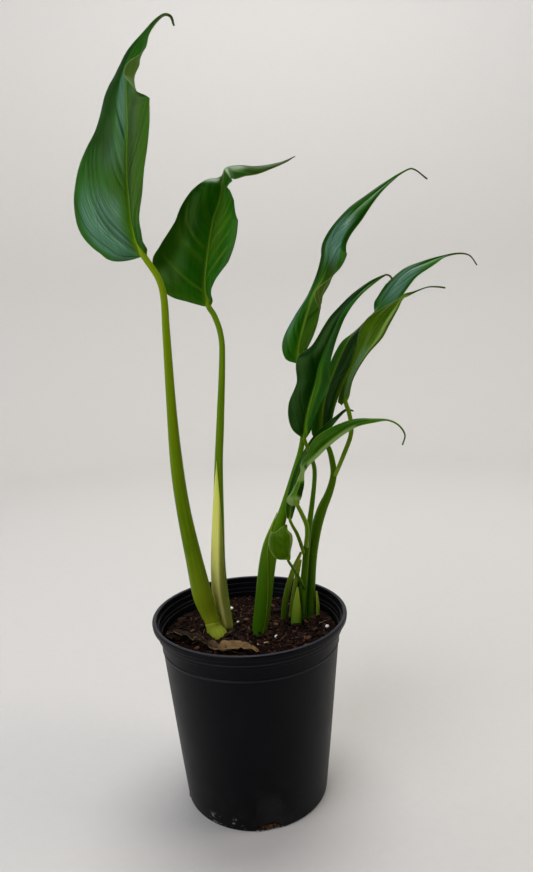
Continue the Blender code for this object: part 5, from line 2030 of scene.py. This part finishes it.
class MONSTERA_OT_soil(bpy.types.Operator):
    """Build the potting mix: its rough body, crumbs, bark chips, root fibres and perlite"""

    bl_idname = "monstera.soil"
    bl_label = "Potting mix"

    def execute(self, context):
        pot, soil = context.scene.monstera_pot, context.scene.monstera_soil
        rng = np.random.default_rng(soil.seed)
        edge = wall_radius(pot, soil.level / MM) - pot.wall / MM - CRUMB_GAP
        rings = soil_rings(pot, soil, SOIL_STEPS)
        new_piece("potting_mix", rings, ["damp_potting_mix"], ["potting_soil"])
        self.crumbs(soil, rng, edge)
        self.fibres(soil, rng, edge)
        self.named_bits(soil, rng)
        self.drain_plugs(pot, rng)
        return {"FINISHED"}

    def crumbs(self, soil, rng, edge):
        """Small crumbs all over the soil, and larger, flatter chips of bark among them."""
        crumbs = scattered(soil.crumbs, CRUMB_SIZES, rng, soil, edge, 0.35)
        many_grains("soil_crumbs", crumbs, rng, "peat_and_bark_crumbs", [], "soil")
        centres, half, turns = scattered(soil.chips, CHIP_SIZES, rng, soil, edge - 2, 0.5)
        half[:, 2] *= CHIP_FLATNESS
        chips = (centres, half, turns)
        shape = {"rows": 6, "around": 9, "rough": 0.2}
        many_grains("soil_bark", chips, rng, "bark_chips", [], "bark", **shape)

    def fibres(self, soil, rng, edge):
        """Thin bent tubes: each line is a short walk whose heading drifts."""
        steps, sides = 9, 5
        tubes, shades = [], []
        for _ in range(soil.fibres):
            radius, angle = edge * math.sqrt(rng.uniform()), rng.uniform(0, 2 * math.pi)
            first_heading = rng.uniform(0, 2 * math.pi)
            heading = first_heading + np.cumsum(rng.normal(0, FIBRE_DRIFT, steps))
            step = rng.uniform(*FIBRE_STEPS)
            x = radius * math.cos(angle) * 0.95 + np.cumsum(np.cos(heading)) * step
            y = radius * math.sin(angle) * 0.95 + np.cumsum(np.sin(heading)) * step
            inward = np.minimum(1, edge / np.maximum(np.hypot(x, y), 1))
            x, y = x * inward, y * inward
            arch = rng.uniform(0, 1.0) * np.sin(np.linspace(0, math.pi, steps))
            z = soil_top(x, y, soil) + 0.3 + arch
            thick = rng.uniform(*FIBRE_RADII)
            line = np.stack([x, y, z, np.linspace(thick, thick * 0.5, steps)], axis=1)
            tubes.append(stalk_rings(line, sides))
            shades.append(np.full(steps * sides, rng.uniform()))
        mesh = ring_mesh("soil_fibres", np.stack(tubes))
        marks = {"shade": np.concatenate(shades)}
        finish_piece("soil_fibres", mesh, ["root_fibres"], [], marks)

    def named_bits(self, soil, rng):
        """The perlite, the larger chips and the twig that stand for the frame's own."""
        shape = {"rows": 11, "around": 16, "rough": 0.09}
        for table, finish, slot in ((PERLITE, "perlite", "perlite"), (BARK, "bark_chips", "bark")):
            for name, (x, y, length, width, height, turn) in table.items():
                level = soil_top(np.array([x]), np.array([y]), soil)[0]
                centre = np.array([[x, y, level + height * 0.2]])
                half = np.array([[length, width, height]]) / 2
                bit = (centre, half, np.radians([[0.0, 0.0, turn]]))
                many_grains(name + "_bit", bit, rng, finish, [name], slot, **shape)
        start, end = (np.array(place) for place in TWIG)
        radii = np.linspace(*TWIG_RADII, 14)
        share = np.linspace(0, 1, len(radii))[:, None]
        flat = start + (end - start) * share + np.sin(share * 5) * 0.3
        height = soil_top(flat[:, 0], flat[:, 1], soil) + TWIG_RADII[0]
        rings = stalk_rings(np.column_stack([flat, height, radii]), 9)
        marks = {"shade": np.full(rings.shape[:2], 0.5)}
        new_piece("twig_stick", rings, ["pale_twig_wood"], ["twig"], marks)

    def drain_plugs(self, pot, rng):
        """Mix that has washed into each drain hole, heaped up to a little under its arch."""
        radius = pot.drain_radius / MM
        centres = []
        for turn in drain_turns(pot):
            across = rng.uniform(-PLUG_WIDTH, PLUG_WIDTH, PLUG_GRAINS) * radius
            arch = np.sqrt(radius**2 - across**2) - pot.drain_sunk / MM
            heap = rng.uniform(0, 1, PLUG_GRAINS) * np.maximum(arch - PLUG_HEADROOM, 0)
            reach = pot.base_radius / MM - rng.uniform(*PLUG_DEPTHS, PLUG_GRAINS)
            x = reach * math.cos(turn) - across * math.sin(turn)
            y = reach * math.sin(turn) + across * math.cos(turn)
            centres.append(np.stack([x, y, PLUG_FOOT + heap], axis=-1))
        centres = np.concatenate(centres)
        half = rng.uniform(*PLUG_GRAIN_RADII, (len(centres), 3))
        turns = rng.uniform(0, 2 * math.pi, (len(centres), 3))
        many_grains("drain_plugs", (centres, half, turns), rng, "washed_out_coir", [], "soil")


class MONSTERA_OT_stalks(bpy.types.Operator):
    """Build the stalks: a round profile carried along each centre line and on under its midrib"""

    bl_idname = "monstera.stalks"
    bl_label = "Stalks"

    def execute(self, context):
        leaf = context.scene.monstera_leaf
        for name, points in STALKS.items():
            blade_name, finish, channel = STALK_LOOKS[name]
            look = blade_look(blade_name, leaf)
            top = rib_under(BLADES[blade_name], look, points[0][3])
            rooted = ROOT_LEVEL if name not in SPRINGS else None
            line = stalk_line([*top, *points], STALK_STEP, rooted)
            rings = stalk_rings(line, leaf.stalk_sides, channel, STALK_RIBS)
            make_stalk(name, line, rings, finish)
        line = stalk_line(STEMS["left_stem"], STEM_STEP)
        swelling = np.exp(-(((line[:, 2] - STEM_NODE_HEIGHT) / 0.8) ** 2))
        line[:, 3] *= 1 + 0.05 * swelling
        make_stalk("left_stem", line, stalk_rings(line, leaf.stalk_sides), "pale_collar_skin")
        return {"FINISHED"}


class MONSTERA_OT_blades(bpy.types.Operator):
    """Build the leaf blades: lofted, quilted sheets with a rib, a pale margin and two faces"""

    bl_idname = "monstera.blades"
    bl_label = "Leaf blades"

    def execute(self, context):
        for name, setting in BLADES.items():
            make_blade(name, setting, blade_look(name, context.scene.monstera_leaf))
        return {"FINISHED"}


class MONSTERA_OT_sheaths(bpy.types.Operator):
    """Build the sheaths and old leaf bases: thin strips on the stalks and beside them"""

    bl_idname = "monstera.sheaths"
    bl_label = "Sheaths"

    def execute(self, context):
        for name, (carrier, low, high, middle, widest) in SHEATHS.items():
            line = stalk_line(STALKS[carrier], SHEATH_STEP, ROOT_LEVEL)
            sheet = sheath_sheet(line, low - SHEATH_SUNK, high, middle, widest)
            make_strip(name, sheet, SHEATH_THICKNESS, SHEATH_FINISHES[name])
        for name, stations in STRAPS.items():
            sheet = strap_sheet(stations, *STRAP_GRID)
            make_strip(name, sheet, STRAP_THICKNESS, "old_leaf_base_tissue")
        return {"FINISHED"}


class MONSTERA_OT_dry_leaf(bpy.types.Operator):
    """Build the fallen leaf: a crumpled, curled sheet with torn margins, on the soil"""

    bl_idname = "monstera.dry_leaf"
    bl_label = "Dry leaf"

    def execute(self, context):
        sheet = crumpled(torn(strap_sheet(DRY_LEAF, *DRY_LEAF_GRID)))
        sheet[..., 2] = np.maximum(sheet[..., 2], DRY_LEAF_LOWEST)
        side, beside, along = places_on(sheet)
        phase = vein_phase(side, along, DRY_VEIN_SPACING, DRY_VEIN_SWEEP)
        marks = {
            "margin": near_margin(beside, 0.8, 0.2),
            "phase": phase * DRY_VEIN_SPACING,
            "across": beside,
            "towards_tip": along / along.max(),
        }
        half = DRY_LEAF_THICKNESS / 2 * sheet_normals(sheet)
        front, back, finishes = sheet + half, sheet - half, ["dry_leaf_tissue"]
        new_sheet("dry_leaf_sheet", front, back, finishes, "dry_leaf", marks)
        return {"FINISHED"}


class MONSTERA_OT_stage(bpy.types.Operator):
    """Set the pale floor and wall, the soft lights and the camera"""

    bl_idname = "monstera.stage"
    bl_label = "Stage"

    def execute(self, context):
        stage = context.scene.monstera_stage
        self.backdrop(context, stage)
        powers = (stage.key_power, stage.fill_power, stage.top_power)
        for power, (name, place, target, size, colour) in zip(powers, LIGHTS):
            self.light(context, name, place, target, size, power, colour)
        world = bpy.data.worlds.new("even_sky")
        world.use_nodes = True
        sky = world.node_tree.nodes["Background"]
        sky.inputs["Color"].default_value = linear(SKY_COLOUR)
        sky.inputs["Strength"].default_value = stage.sky
        context.scene.world = world
        context.scene.view_settings.view_transform = "Standard"
        self.camera(context, stage)
        return {"FINISHED"}

    def backdrop(self, context, stage):
        """A floor, a quarter-circle sweep and a wall, revolved: its faces look inwards."""
        radius, height, sweep = stage.floor_radius, stage.wall_height, FLOOR_SWEEP
        turn = np.linspace(-math.pi / 2, 0, 16)
        outward, upward = radius - sweep + sweep * np.cos(turn), sweep + sweep * np.sin(turn)
        curve = np.stack([outward, upward], axis=1)
        outline = np.concatenate([[[0.002, 0.0], [0.5, 0.0]], curve, [[radius, height]]])
        rings = revolved(outline, 128)
        quads, caps = ring_faces(*rings.shape[:2])
        mesh = bpy.data.meshes.new("pale_floor")
        faces = quads[:, ::-1].tolist() + [caps[0][::-1]]
        mesh.from_pydata(rings.reshape(-1, 3).tolist(), [], faces)
        mesh.materials.append(bpy.data.materials["pale_paper"])
        mesh.shade_smooth()
        floor = bpy.data.objects.new("pale_floor", mesh)
        context.scene.collection.objects.link(floor)

    def light(self, context, name, place, target, size, power, colour):
        """A round soft light at a place, turned to its target."""
        lamp = bpy.data.lights.new(name, "AREA")
        lamp.shape = "DISK"
        lamp.size = size
        lamp.energy = power
        lamp.color = linear(colour)[:3]
        holder = bpy.data.objects.new(name, lamp)
        aim = Vector(target) - Vector(place)
        turn = aim.to_track_quat("-Z", "Y").to_matrix().to_4x4()
        holder.matrix_world = Matrix.Translation(place) @ turn
        context.scene.collection.objects.link(holder)

    def camera(self, context, stage):
        """The camera in front of the plant, looking slightly down."""
        eye = bpy.data.cameras.new("front_camera")
        eye.lens = stage.lens / MM
        eye.sensor_width = SENSOR_WIDTH
        eye.clip_start, eye.clip_end = 0.01, 20
        holder = bpy.data.objects.new("front_camera", eye)
        right, back = Vector(CAMERA_RIGHT), Vector(CAMERA_BACK)
        turn = Matrix((right, back.cross(right), back)).transposed().to_4x4()
        holder.matrix_world = Matrix.Translation(CAMERA_PLACE) @ turn
        context.scene.collection.objects.link(holder)
        context.scene.camera = holder


class MONSTERA_PT_panel(bpy.types.Panel):
    """Lists the settings and the steps of the build"""

    bl_label = "Potted monstera"
    bl_idname = "MONSTERA_PT_panel"
    bl_space_type = "VIEW_3D"
    bl_region_type = "UI"
    bl_category = "Monstera"

    def draw(self, context):
        for group in SETTINGS:
            settings = getattr(context.scene, group)
            for key in settings.__annotations__:
                self.layout.prop(settings, key)
        for step in STEPS:
            self.layout.operator(step.bl_idname)


SETTINGS = {
    "monstera_pot": MonsteraPotSettings,
    "monstera_soil": MonsteraSoilSettings,
    "monstera_leaf": MonsteraLeafSettings,
    "monstera_stage": MonsteraStageSettings,
}
STEPS = (
    MONSTERA_OT_finishes,
    MONSTERA_OT_pot,
    MONSTERA_OT_soil,
    MONSTERA_OT_stalks,
    MONSTERA_OT_blades,
    MONSTERA_OT_sheaths,
    MONSTERA_OT_dry_leaf,
    MONSTERA_OT_stage,
)


def register():
    for group, settings in SETTINGS.items():
        bpy.utils.register_class(settings)
        setattr(bpy.types.Scene, group, bpy.props.PointerProperty(type=settings))
    for step in (*STEPS, MONSTERA_PT_panel):
        bpy.utils.register_class(step)


def unregister():
    for step in (MONSTERA_PT_panel, *reversed(STEPS)):
        bpy.utils.unregister_class(step)
    for group, settings in SETTINGS.items():
        delattr(bpy.types.Scene, group)
        bpy.utils.unregister_class(settings)


def main():
    register()
    bpy.ops.monstera.finishes()
    bpy.ops.monstera.pot()
    bpy.ops.monstera.soil()
    bpy.ops.monstera.stalks()
    bpy.ops.monstera.blades()
    bpy.ops.monstera.sheaths()
    bpy.ops.monstera.dry_leaf()
    bpy.ops.monstera.stage()


if __name__ == "__main__":
    main()
